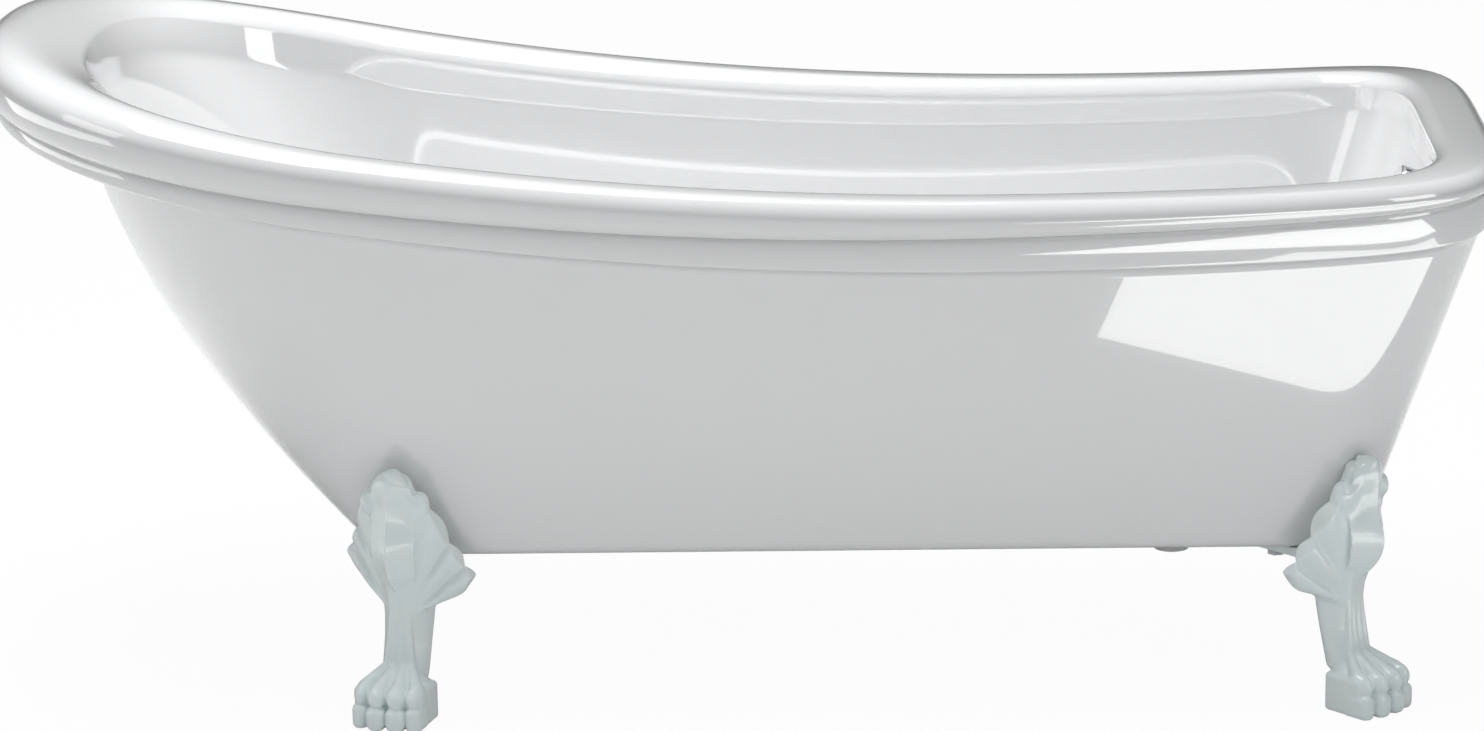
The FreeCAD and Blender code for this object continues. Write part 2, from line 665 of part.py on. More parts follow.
def paw_block():
    """Heel block of a paw, rounded in at its top."""
    sections = []
    for step in range(PAW_STATIONS + 1):
        share = step / PAW_STATIONS
        rounding = PAW_ROUNDING * share**6
        height = PAW_LIFT + (PAW_TOP - PAW_LIFT) * share
        half_length = PAW_LENGTH / 2 - rounding
        half_width = PAW_WIDTH / 2 - rounding
        sections.append(level_oval(height, -rounding / 2, half_length, half_width, PAW_SQUARENESS))
    return Part.makeLoft(sections, True, False)


def toe(side, reach):
    """One toe: from its root in the paw over the knuckle and down to its tip."""
    root = Vector(0, side * TOE_FAN, PAW_TOP - TOE_RADIUS - PAW_LIFT)
    knuckle = Vector(reach - KNUCKLE_SETBACK, side, root.z - KNUCKLE_DROP)
    tip_radius = TOE_RADIUS - TOE_TAPER
    tip = Vector(reach, side, PAW_LIFT + tip_radius)
    back = Part.makeCylinder(TOE_RADIUS, (knuckle - root).Length, root, knuckle - root)
    front = Part.makeCylinder(tip_radius, (tip - knuckle).Length, knuckle, tip - knuckle)
    return [back, Part.makeSphere(TOE_RADIUS, knuckle), front, Part.makeSphere(tip_radius, tip)]


def leg_paw():
    paw = paw_block()
    pitch = (PAW_WIDTH - 1.4 * TOE_RADIUS) / (TOE_COUNT - 1)
    for count in range(TOE_COUNT):
        side = (count - (TOE_COUNT - 1) / 2) * pitch
        reach = TOE_REACH if abs(side) < pitch else TOE_REACH - TOE_STAGGER
        for bone in toe(side, reach):
            paw = paw.fuse(bone)
    return paw


def leg_ledge():
    """The flat tongue that the leg is bolted through, under the tub."""
    end = LEG_BOLT_SETBACK + LEDGE_END
    corner = Vector(-end, -LEDGE_WIDTH / 2, GROUND_CLEARANCE - LEDGE_THICKNESS)
    return Part.makeBox(end + SHAFT_BEND_DEPTH, LEDGE_WIDTH, LEDGE_THICKNESS, corner)


def leg_bolt_places():
    return [Vector(-LEG_BOLT_SETBACK, side * LEG_BOLT_SPACING / 2, 0) for side in (-1, 1)]


def leg_cutters():
    """Holes of a leg: for its bolts, and the foot pad's recess with the hole for its stud."""
    hole_foot = GROUND_CLEARANCE - CUT_THROUGH
    cutters = []
    for bolt in leg_bolt_places():
        cutters.append(cylinder(BOLT_HOLE_RADIUS, CUT_THROUGH, bolt.x, bolt.y, hole_foot))
    recess_top = LEVELLER_PAD_HEIGHT + LEVELLER_PAD_GAP
    cutters.append(cylinder(LEVELLER_PAD_RADIUS + LEVELLER_PAD_GAP, recess_top, 0, 0, 0))
    stud_hole = LEVELLER_STUD_TOP + LEVELLER_PAD_GAP
    cutters.append(cylinder(LEVELLER_STUD_RADIUS + FIT, stud_hole, 0, 0, 0))
    return cutters


def make_side_core():
    """The space inside the tub's sides, up past the tops of the legs."""
    side = Side(FIT, GROUND_CLEARANCE)
    height = LEAF_HEIGHT + CORE_SPARE
    wall = [side.at_height(height * share) for share in (0.4, 0.7, 1)]
    faces = skin(side.edge(), wall)
    faces += [Part.Face(wire_of(side.flat)), Part.Face(wire_of(wall[-1]))]
    return solid_of(faces)


class Place:
    """Where a leg stands: the middle of its paw, and the way it points."""

    def __init__(self, name, x, y, degrees, mirrored):
        self.name = name
        self.x = x
        self.y = y
        self.degrees = degrees
        self.mirrored = mirrored

    def put(self, shape):
        placed = shape.copy()
        placed.rotate(Vector(0, 0, 0), Vector(0, 0, 1), self.degrees)
        placed.translate(Vector(self.x, self.y, 0))
        if self.mirrored:
            placed = placed.mirror(Vector(0, 0, 0), Vector(0, 1, 0))
        return placed


def leg_places():
    """Right is the -Y side and left is +Y, as a bather facing the foot end has them."""
    head_x = BOTTOM_PLAN.slipper_end + SLIPPER_LEG_SETBACK
    foot_x = BOTTOM_PLAN.foot_end - FOOT_LEG_END_GAP
    head_y = -BOTTOM_PLAN.half_at(head_x) - SLIPPER_LEG_REACH
    foot_y = -BOTTOM_PLAN.half_at(foot_x) - FOOT_LEG_REACH
    head_turn = -90 - SLIPPER_LEG_YAW
    foot_turn = -90 + FOOT_LEG_YAW
    places = []
    for side, mirrored in (("right", False), ("left", True)):
        places.append(Place("head_" + side, head_x, head_y, head_turn, mirrored))
        places.append(Place("foot_" + side, foot_x, foot_y, foot_turn, mirrored))
    return places


LEG_PLACES = leg_places()


def make_leg(place, upper, lower, core):
    """A leg in its place: its upper part is fitted to the tub's side before the rest joins it."""
    leg = place.put(upper).cut(core)
    for shape in lower:
        leg = leg.fuse(place.put(shape))
    for cutter in leg_cutters():
        leg = leg.cut(place.put(cutter))
    return leg


def leg_bolt_cutters(radius, low, high):
    """Upright cylinders at every leg bolt, to drill with."""
    cutters = []
    for place in LEG_PLACES:
        for bolt in leg_bolt_places():
            cutters.append(place.put(cylinder(radius, high - low, bolt.x, bolt.y, low)))
    return cutters


def plate_block(gap):
    """A leg's plate, or with a gap the pocket that it lies in."""
    width = PLATE_WIDTH + 2 * gap
    length = PLATE_LENGTH + 2 * gap
    corner = Vector(-LEG_BOLT_SETBACK - width / 2, -length / 2, SHELL_FLOOR)
    return Part.makeBox(width, length, PLATE_THICKNESS + gap, corner)


def make_leg_plate():
    """Tapped steel plate that the bolts of one leg screw into, let into the board."""
    plate = plate_block(0.0)
    for bolt in leg_bolt_places():
        hole = cylinder(BOLT_THREAD_RADIUS, PLATE_THICKNESS, bolt.x, bolt.y, SHELL_FLOOR)
        plate = plate.cut(hole)
    return plate


def hexagon(across_flats, height, x, y, z):
    radius = across_flats / math.sqrt(3)
    corners = []
    for side in range(7):
        angle = math.radians(60 * side)
        corners.append(Vector(x + radius * math.cos(angle), y + radius * math.sin(angle), z))
    return Part.Face(Part.makePolygon(corners)).extrude(Vector(0, 0, height))


def make_leg_bolt(x, y):
    head = hexagon(LEG_BOLT_FLATS, LEG_BOLT_HEAD, x, y, BOLT_SEAT - LEG_BOLT_HEAD)
    shank = cylinder(LEG_BOLT_RADIUS, LEG_BOLT_LENGTH, x, y, BOLT_SEAT)
    return head.fuse(shank).removeSplitter()


def make_leg_washer(x, y):
    return ring_piece(LEG_WASHER_RADIUS, BOLT_THREAD_RADIUS, LEG_WASHER_THICKNESS, x, y, BOLT_SEAT)


def at_leg_bolts(make):
    """One solid at every leg bolt, two to a leg."""
    solids = []
    for place in LEG_PLACES:
        for bolt in leg_bolt_places():
            solids.append(place.put(make(bolt.x, bolt.y)))
    return Part.makeCompound(solids)


def make_leveller():
    """Foot pad and threaded stud that screw out of the underside of a paw."""
    pad = cylinder(LEVELLER_PAD_RADIUS, LEVELLER_PAD_HEIGHT, 0, 0, 0)
    pad = pad.makeChamfer(LEVELLER_PAD_CHAMFER, pad.Edges)
    stud_foot = LEVELLER_PAD_HEIGHT / 2
    return pad.fuse(cylinder(LEVELLER_STUD_RADIUS, LEVELLER_STUD_TOP - stud_foot, 0, 0, stud_foot))


# ------------------------------------------------------------------ the waste
def make_web():
    """Bars across the barrel with the bush in their middle that guides the plug's stem."""
    foot = FLANGE_TOP - WEB_DEPTH
    web = cylinder(PLUG_STEM_RADIUS + WEB_THICKNESS, WEB_HEIGHT, 0, 0, foot)
    reach = (WASTE_BARREL_RADIUS + BARREL_BORE) / 2
    for turn in range(WEB_BARS):
        bar = Part.makeBox(reach, WEB_THICKNESS, WEB_HEIGHT, Vector(0, -WEB_THICKNESS / 2, foot))
        bar.rotate(Vector(0, 0, 0), Vector(0, 0, 1), 360 * turn / WEB_BARS)
        web = web.fuse(bar)
    web = web.cut(cylinder(PLUG_STEM_RADIUS + FIT, WEB_HEIGHT, 0, 0, foot))
    web.translate(Vector(WASTE_X, 0, 0))
    return web


def make_waste_flange():
    """Flanged barrel through the basin's floor, with the web that guides the plug."""
    flange = cylinder(WASTE_FLANGE_RADIUS, WASTE_FLANGE_THICKNESS, WASTE_X, 0, FLANGE_FOOT)
    flange = flange.makeFillet(WASTE_FLANGE_THICKNESS / 2, [flange.Edges[0]])
    barrel = cylinder(WASTE_BARREL_RADIUS, WASTE_BARREL_LENGTH, WASTE_X, 0, BARREL_FOOT)
    bore = cylinder(BARREL_BORE, FLANGE_TOP - BARREL_FOOT, WASTE_X, 0, BARREL_FOOT)
    return flange.fuse(barrel).cut(bore).fuse(make_web())


def waste_ring(radius, height, foot):
    """Plain ring round the waste's barrel."""
    return ring_piece(radius, WASTE_BARREL_RADIUS + THREAD_GAP, height, WASTE_X, 0, foot)


def make_waste_nut():
    nut = hexagon(WASTE_NUT_FLATS, WASTE_NUT_THICKNESS, WASTE_X, 0, NUT_FOOT)
    bore = WASTE_BARREL_RADIUS + THREAD_GAP
    return nut.cut(cylinder(bore, WASTE_NUT_THICKNESS, WASTE_X, 0, NUT_FOOT))


def level_cylinder(radius, start, end):
    """Cylinder along X at the level of the pipe under the tub."""
    return Part.makeCylinder(radius, end - start, Vector(start, 0, PIPE_LEVEL), Vector(1, 0, 0))


def make_waste_body():
    """Body under the tub: takes the barrel from above and the overflow pipe from the side."""
    top = NUT_FOOT - FIT
    tail_foot = WASTE_BODY_FOOT - WASTE_TAIL_LENGTH
    body = cylinder(WASTE_BODY_RADIUS, top - WASTE_BODY_FOOT, WASTE_X, 0, WASTE_BODY_FOOT)
    tail = cylinder(WASTE_TAIL_RADIUS, WASTE_TAIL_LENGTH, WASTE_X, 0, tail_foot)
    body = body.fuse([tail, level_cylinder(PORT_RADIUS, WASTE_X, PORT_END)])
    socket_foot = BARREL_FOOT - PIPE_SEATING
    socket = cylinder(WASTE_BARREL_RADIUS + THREAD_GAP, top - socket_foot, WASTE_X, 0, socket_foot)
    way_out = cylinder(WASTE_TAIL_RADIUS - PIPE_WALL, top - tail_foot, WASTE_X, 0, tail_foot)
    pipe_socket = level_cylinder(PIPE_RADIUS + FIT, PORT_END - PORT_SOCKET, PORT_END)
    way_in = level_cylinder(PIPE_RADIUS - PIPE_WALL, WASTE_X, PORT_END)
    return body.cut([socket, way_out, pipe_socket, way_in])


def make_plug():
    """Domed plug with its stem; it clicks up and down in the flange's web."""
    radius = (PLUG_RADIUS**2 + PLUG_DOME**2) / (2 * PLUG_DOME)
    ball = Part.makeSphere(radius, Vector(WASTE_X, 0, PLUG_FOOT + PLUG_THICKNESS - radius))
    disc = cylinder(PLUG_RADIUS, PLUG_THICKNESS, WASTE_X, 0, PLUG_FOOT).common(ball)
    boss_foot = PLUG_FOOT - PLUG_BOSS_DEPTH
    boss = cylinder(PLUG_BOSS_RADIUS, PLUG_BOSS_DEPTH + FIT, WASTE_X, 0, boss_foot)
    stem_foot = FLANGE_TOP - WEB_DEPTH + WEB_HEIGHT - PLUG_STEM_KEPT - PLUG_TRAVEL
    stem = cylinder(PLUG_STEM_RADIUS, PLUG_FOOT - stem_foot, WASTE_X, 0, stem_foot)
    return disc.fuse([boss, stem])


def make_plug_seal():
    foot = PLUG_FOOT - PLUG_SEAL_DROP
    return ring_piece(BARREL_BORE - FIT, PLUG_BOSS_RADIUS, PLUG_SEAL_HEIGHT, WASTE_X, 0, foot)


# ------------------------------------------------------------------ the overflow
def overflow_wall():
    """Foot and top of the straight line down the middle of the foot end's wet wall."""
    top = rim_ring(0, ROLL_HEIGHT - 2 * ROLL_INNER_DROP, ROLL_WIDTH)
    foot = basin_crossing(0.0, BASIN_FLOOR)
    tip = SLIPPER_STATIONS + SIDE_STATIONS + FOOT_STATIONS
    return foot[tip], top[tip]


WALL_FOOT, WALL_TOP = overflow_wall()
WALL_RUN = (WALL_TOP - WALL_FOOT).normalize()
OVERFLOW_AXIS = Vector(-WALL_RUN.z, 0, WALL_RUN.x)
OVERFLOW_HEIGHT = rim_height(LENGTH / 2) - OVERFLOW_DROP
OVERFLOW_CENTRE = WALL_FOOT + WALL_RUN * ((OVERFLOW_HEIGHT - WALL_FOOT.z) / WALL_RUN.z)
GASKET_BACK = -BASIN_THICKNESS * WALL_RUN.z - OVERFLOW_GASKET_THICKNESS
CUP_BACK = GASKET_BACK - OVERFLOW_FLANGE_THICKNESS - OVERFLOW_CUP_DEPTH
SPIGOT_LEVEL = CUP_BACK + PORT_RADIUS
COVER_TOP = OVERFLOW_COVER_STANDOFF + OVERFLOW_COVER_SHEET


def on_overflow(shape):
    """Move a shape made round the +Z axis on to the overflow's axis."""
    placed = shape.copy()
    placed.rotate(Vector(0, 0, 0), Vector(0, 1, 0), -math.degrees(math.acos(OVERFLOW_AXIS.z)))
    placed.translate(OVERFLOW_CENTRE)
    return placed


def rod(radius, low, high):
    """Cylinder along the overflow's axis, before it is moved there."""
    return cylinder(radius, high - low, 0, 0, low)


def spigot_cylinder(radius, start, end):
    """Cylinder down the spigot, between two distances from the overflow's axis."""
    return Part.makeCylinder(radius, end - start, Vector(-start, 0, SPIGOT_LEVEL), Vector(-1, 0, 0))


def make_overflow_body():
    """Cup behind the wall that leads the overflow into the pipe."""
    flange = rod(OVERFLOW_FLANGE_RADIUS, GASKET_BACK - OVERFLOW_FLANGE_THICKNESS, GASKET_BACK)
    cup = rod(OVERFLOW_HOLE_RADIUS + OVERFLOW_CUP_WALL, CUP_BACK, GASKET_BACK)
    floor = CUP_BACK + OVERFLOW_CUP_WALL
    inside = rod(OVERFLOW_HOLE_RADIUS, floor, GASKET_BACK)
    spigot = spigot_cylinder(PORT_RADIUS, 0, SPIGOT_END)
    socket = spigot_cylinder(PIPE_RADIUS + FIT, SPIGOT_END - PORT_SOCKET, SPIGOT_END)
    way_out = spigot_cylinder(PIPE_RADIUS - PIPE_WALL, 0, SPIGOT_END)
    post = rod(OVERFLOW_POST_RADIUS, CUP_BACK, GASKET_BACK)
    screw_hole = rod(SCREW_HOLE_RADIUS, floor, GASKET_BACK)
    body = flange.fuse([cup, spigot]).cut([inside, socket, way_out])
    return on_overflow(body.fuse(post).cut(screw_hole))


def make_overflow_cover():
    """Round cover over the overflow, open all round its skirt through slots."""
    cover = rod(OVERFLOW_COVER_RADIUS, FIT, COVER_TOP)
    cover = cover.makeFillet(OVERFLOW_COVER_SHEET, [cover.Edges[0]])
    inner_radius = OVERFLOW_COVER_RADIUS - OVERFLOW_COVER_SHEET
    cover = cover.cut(rod(inner_radius, 0, OVERFLOW_COVER_STANDOFF))
    slot_height = OVERFLOW_COVER_STANDOFF - OVERFLOW_SLOT_LEDGE
    corner = Vector(inner_radius - OVERFLOW_COVER_SHEET, -OVERFLOW_SLOT_WIDTH / 2, 0)
    for slot in range(OVERFLOW_SLOTS):
        cutter = Part.makeBox(CUT_THROUGH, OVERFLOW_SLOT_WIDTH, slot_height, corner)
        turn = 360 * (slot + 0.5) / OVERFLOW_SLOTS
        cutter.rotate(Vector(0, 0, 0), Vector(0, 0, 1), turn)
        cover = cover.cut(cutter)
    return on_overflow(cover.cut(rod(SCREW_HOLE_RADIUS, 0, COVER_TOP)))


def make_overflow_screw():
    shank = rod(OVERFLOW_SCREW_RADIUS, GASKET_BACK - OVERFLOW_SCREW_GRIP, COVER_TOP)
    head_radius = OVERFLOW_SCREW_RADIUS * 2.4
    head_top = COVER_TOP + OVERFLOW_SCREW_RADIUS
    head = rod(head_radius, COVER_TOP, head_top)
    head = head.makeFillet(OVERFLOW_SCREW_RADIUS * 0.8, [head.Edges[0]])
    slot = OVERFLOW_SCREW_SLOT
    corner = Vector(-head_radius, -slot / 2, head_top - slot)
    return on_overflow(shank.fuse(head).cut(Part.makeBox(2 * head_radius, slot, slot, corner)))


def make_overflow_gasket():
    return ring_piece(
        OVERFLOW_FLANGE_RADIUS, OVERFLOW_HOLE_RADIUS, OVERFLOW_GASKET_THICKNESS, 0, 0, GASKET_BACK
    )


def pipe_route():
    """Corners of the overflow pipe: down inside the foot end, out, and along to the waste."""
    spigot_reach = SPIGOT_END - PORT_SOCKET + PIPE_SEATING
    start = OVERFLOW_CENTRE + OVERFLOW_AXIS * SPIGOT_LEVEL - WALL_RUN * spigot_reach
    turn = start - WALL_RUN * ((start.x - PIPE_PASS_X) / WALL_RUN.x)
    low = Vector(PIPE_PASS_X, 0, PIPE_LEVEL)
    end = Vector(PORT_END - PORT_SOCKET + PIPE_SEATING, 0, PIPE_LEVEL)
    return [start, turn, low, end]


def rounded_path(corners, radii):
    """Straight runs through the corners, joined by tangent arcs."""
    edges = []
    last = corners[0]
    for before, corner, after, radius in zip(corners, corners[1:], corners[2:], radii):
        into = (corner - before).normalize()
        out = (after - corner).normalize()
        turn = into.getAngle(out)
        reach = radius * math.tan(turn / 2)
        start = corner - into * reach
        end = corner + out * reach
        inward = (out - into).normalize()
        middle = corner + inward * (radius / math.cos(turn / 2) - radius)
        edges.append(Part.LineSegment(last, start).toShape())
        edges.append(Part.Arc(start, middle, end).toShape())
        last = end
    edges.append(Part.LineSegment(last, corners[-1]).toShape())
    return Part.Wire(edges)


def swept(path, corners, radius):
    circle = Part.Wire(Part.makeCircle(radius, corners[0], corners[1] - corners[0]))
    return path.makePipeShell([circle], True, False)


def make_overflow_pipe():
    corners = pipe_route()
    path = rounded_path(corners, [PIPE_TURN_RADIUS, PIPE_BEND_RADIUS])
    outside = swept(path, corners, PIPE_RADIUS)
    return outside.cut(swept(path, corners, PIPE_RADIUS - PIPE_WALL))


def make_pipe_nuts():
    """Union nuts at both ends of the overflow pipe, screwed against their sockets."""
    nut = ring_piece(PORT_RADIUS + PIPE_WALL, PIPE_RADIUS + FIT, PIPE_NUT_LENGTH, 0, 0, 0)
    upper = nut.copy()
    upper.rotate(Vector(0, 0, 0), Vector(0, 1, 0), -90)
    upper.translate(Vector(-SPIGOT_END, 0, SPIGOT_LEVEL))
    lower = nut.copy()
    lower.rotate(Vector(0, 0, 0), Vector(0, 1, 0), 90)
    lower.translate(Vector(PORT_END, 0, PIPE_LEVEL))
    return Part.makeCompound([on_overflow(upper), lower])


# ------------------------------------------------------------------ the pieces
def drilled_basin():
    hole_radius = WASTE_BARREL_RADIUS + WASTE_HOLE_GAP
    waste_hole = cylinder(hole_radius, CUT_THROUGH, WASTE_X, 0, BOARD_TOP - CUT_THROUGH / 2)
    overflow_hole = rod(OVERFLOW_HOLE_RADIUS, -CUT_THROUGH / 2, CUT_THROUGH / 2)
    return make_basin().cut([waste_hole, on_overflow(overflow_hole)])


def drilled_shell():
    foot = GROUND_CLEARANCE - CUT_THROUGH / 2
    waste_hole = cylinder(WASTE_OPENING_RADIUS, CUT_THROUGH, WASTE_X, 0, foot)
    pipe_hole = cylinder(PIPE_RADIUS + PIPE_HOLE_GAP, CUT_THROUGH, PIPE_PASS_X, 0, foot)
    bolt_holes = leg_bolt_cutters(BOLT_HOLE_RADIUS, foot, SHELL_FLOOR)
    return make_outer_shell().cut([waste_hole, pipe_hole] + bolt_holes)


def fitted_board():
    """The board with its opening for the waste, notch for the pipe, and the plates' pockets."""
    foot = GROUND_CLEARANCE
    waste_hole = cylinder(WASTE_OPENING_RADIUS, CUT_THROUGH, WASTE_X, 0, foot)
    notch_half = PIPE_RADIUS + PIPE_HOLE_GAP
    corner = Vector(PIPE_PASS_X - notch_half, -notch_half, foot)
    notch = Part.makeBox(LENGTH, 2 * notch_half, CUT_THROUGH, corner)
    pockets = [place.put(plate_block(FIT)) for place in LEG_PLACES]
    bolt_end = BOLT_SEAT + LEG_BOLT_LENGTH + FIT
    bolt_holes = leg_bolt_cutters(BOLT_HOLE_RADIUS, foot, bolt_end)
    return make_base_board().cut([waste_hole, notch] + pockets + bolt_holes)


def write(name, shape):
    """Write one piece to its file and say how large it is."""
    shape.exportStep("parts/" + name + ".step")
    volume = sum(solid.Volume for solid in shape.Solids)
    print(name, "solids", len(shape.Solids), "volume", round(volume), "valid", shape.isValid())


def main():
    write("basin", drilled_basin())
    write("outer_shell", drilled_shell())
    write("base_board", fitted_board())

    upper = leg_shaft().fuse(leg_leaf())
    lower = [leg_paw(), leg_ledge()]
    core = make_side_core()
    plate = make_leg_plate()
    leveller = make_leveller()
    for place in LEG_PLACES:
        write("claw_leg_" + place.name, make_leg(place, upper, lower, core))
        write("leg_plate_" + place.name, place.put(plate))
        write("leveller_" + place.name, place.put(leveller))
    write("leg_bolts", at_leg_bolts(make_leg_bolt))
    write("leg_washers", at_leg_bolts(make_leg_washer))

    write("waste_flange", make_waste_flange())
    write("waste_gasket", waste_ring(WASTE_GASKET_RADIUS, WASTE_GASKET_THICKNESS, BASIN_FLOOR))
    write("waste_washer", waste_ring(WASTE_WASHER_RADIUS, WASTE_WASHER_THICKNESS, WASHER_FOOT))
    write("waste_nut", make_waste_nut())
    write("waste_body", make_waste_body())
    write("waste_plug", make_plug())
    write("plug_seal", make_plug_seal())

    write("overflow_cover", make_overflow_cover())
    write("overflow_screw", make_overflow_screw())
    write("overflow_gasket", on_overflow(make_overflow_gasket()))
    write("overflow_body", make_overflow_body())
    write("overflow_pipe", make_overflow_pipe())
    write("pipe_nuts", make_pipe_nuts())


main()
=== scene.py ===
import logging
import math
from dataclasses import dataclass, field
from enum import Enum
from typing import Callable, Iterable, Sequence

import bpy
import numpy as np
from mathutils import Matrix, Vector


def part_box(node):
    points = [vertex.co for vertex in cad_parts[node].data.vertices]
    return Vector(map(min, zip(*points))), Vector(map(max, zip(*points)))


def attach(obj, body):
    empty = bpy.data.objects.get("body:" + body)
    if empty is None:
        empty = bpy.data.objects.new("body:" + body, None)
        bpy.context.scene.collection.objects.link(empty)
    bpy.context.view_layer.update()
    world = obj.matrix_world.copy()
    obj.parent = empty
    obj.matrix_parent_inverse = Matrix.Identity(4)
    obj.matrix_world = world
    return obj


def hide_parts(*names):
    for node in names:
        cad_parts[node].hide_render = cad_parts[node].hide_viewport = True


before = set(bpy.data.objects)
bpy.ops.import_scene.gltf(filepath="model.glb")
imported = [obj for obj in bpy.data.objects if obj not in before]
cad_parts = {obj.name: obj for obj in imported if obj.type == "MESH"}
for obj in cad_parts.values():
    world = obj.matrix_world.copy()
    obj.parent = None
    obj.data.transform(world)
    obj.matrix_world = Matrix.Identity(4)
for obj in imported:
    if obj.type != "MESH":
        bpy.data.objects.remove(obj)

MM = 0.001
SKIN = 5.0
QUARTER = np.pi / 2
Array = np.ndarray
Ring = Array
Rows = list[Ring]
Place = Sequence[Array]
Field = Callable[[Place], Array]
Point = tuple[float, float, float]
log = logging.getLogger("bathtub")


class Slot(Enum):
    """Names of the material slots for the acrylic and the leg paint."""

    ACRYLIC = "acrylic_white"
    LEG = "leg_paint"


class Shows(Enum):
    """Where a lamp is seen: everywhere, in matt light alone, or in gloss alone."""

    EVERYWHERE = "everywhere"
    MATT = "matt"
    GLOSS = "gloss"


# ---------------------------------------- scene data
def linked(name: str, data: bpy.types.ID) -> bpy.types.Object:
    """Object at the origin that shows some data, linked to the scene."""
    thing = bpy.data.objects.new(name, data)
    bpy.context.scene.collection.objects.link(thing)
    return thing


def preset(node: bpy.types.Node, **values: object) -> bpy.types.Node:
    """Set a node's sockets, whose spaces are underscores here, and give the node back."""
    for socket, value in values.items():
        node.inputs[socket.replace("_", " ")].default_value = value
    return node


# ---------------------------------------- meshes
def new_object(name: str, points: Array, faces: Array) -> bpy.types.Object:
    """Put points in millimetres and quads into a smooth shaded object at the origin.

    Args:
        name: name of the object and its mesh.
        points: array of n by 3 places, in millimetres.
        faces: array of m by 4 point numbers, running anticlockwise seen from outside.

    Returns:
        The new object, linked to the scene.
    """
    mesh = bpy.data.meshes.new(name)
    mesh.vertices.add(len(points))
    mesh.vertices.foreach_set("co", (points * MM).astype(np.float32).ravel())
    mesh.loops.add(faces.size)
    mesh.loops.foreach_set("vertex_index", faces.astype(np.int32).ravel())
    mesh.polygons.add(len(faces))
    mesh.polygons.foreach_set("loop_start", np.arange(0, faces.size, 4, dtype=np.int32))
    mesh.polygons.foreach_set("use_smooth", np.ones(len(faces), dtype=bool))
    mesh.update(calc_edges=True)
    mesh.validate()
    return linked(name, mesh)


def closed_grid(rows: Rows) -> tuple[Array, Array]:
    """Points and quads of a closed skin: rows are loops, and the last one meets the first."""
    count, width = len(rows), len(rows[0])
    row, column = np.meshgrid(np.arange(count), np.arange(width), indexing="ij")
    below, after = (row + 1) % count, (column + 1) % width
    faces = np.stack([row * width + column, row * width + after,
                      below * width + after, below * width + column], axis=-1)
    return np.concatenate(rows), faces.reshape(-1, 4)


def between(start: Ring, end: Ring, share: float) -> Ring:
    """Point by point, the place a share of the way along: start + (end - start) * share."""
    return start + (end - start) * share


def bent(start: Ring, corner: Ring, end: Ring, share: float) -> Ring:
    """Place on the quadratic curve from start to end that leans towards the corner."""
    return between(between(start, corner, share), between(corner, end, share), share)


# ---------------------------------------- plans of the tub
@dataclass(frozen=True)
class Plan:
    """Outline from above: superellipse ends joined by straight sides that taper to the foot."""

    slipper_end: float
    foot_end: float
    half_width: float
    slipper_nose: float
    foot_nose: float

    def shrunk(self, inset: float) -> "Plan":
        """The same outline drawn in all round."""
        return Plan(self.slipper_end + inset, self.foot_end - inset, self.half_width - inset,
                    self.slipper_nose - inset, self.foot_nose - inset)


def superellipse(angle: Array, power: float, nose: float, half: float) -> Array:
    """Quarter of a superellipse, with the reach r = (cos(a)**p + sin(a)**p)**(-1/p) on ray a.

    Args:
        angle: the rays, from 0 along the nose to a quarter turn.
        power: how square the corner is.
        nose: half length along x.
        half: half width along y.
    """
    reach = (np.cos(angle) ** power + np.sin(angle) ** power) ** (-1 / power)
    return np.stack([nose * np.cos(angle) * reach, half * np.sin(angle) * reach], axis=1)


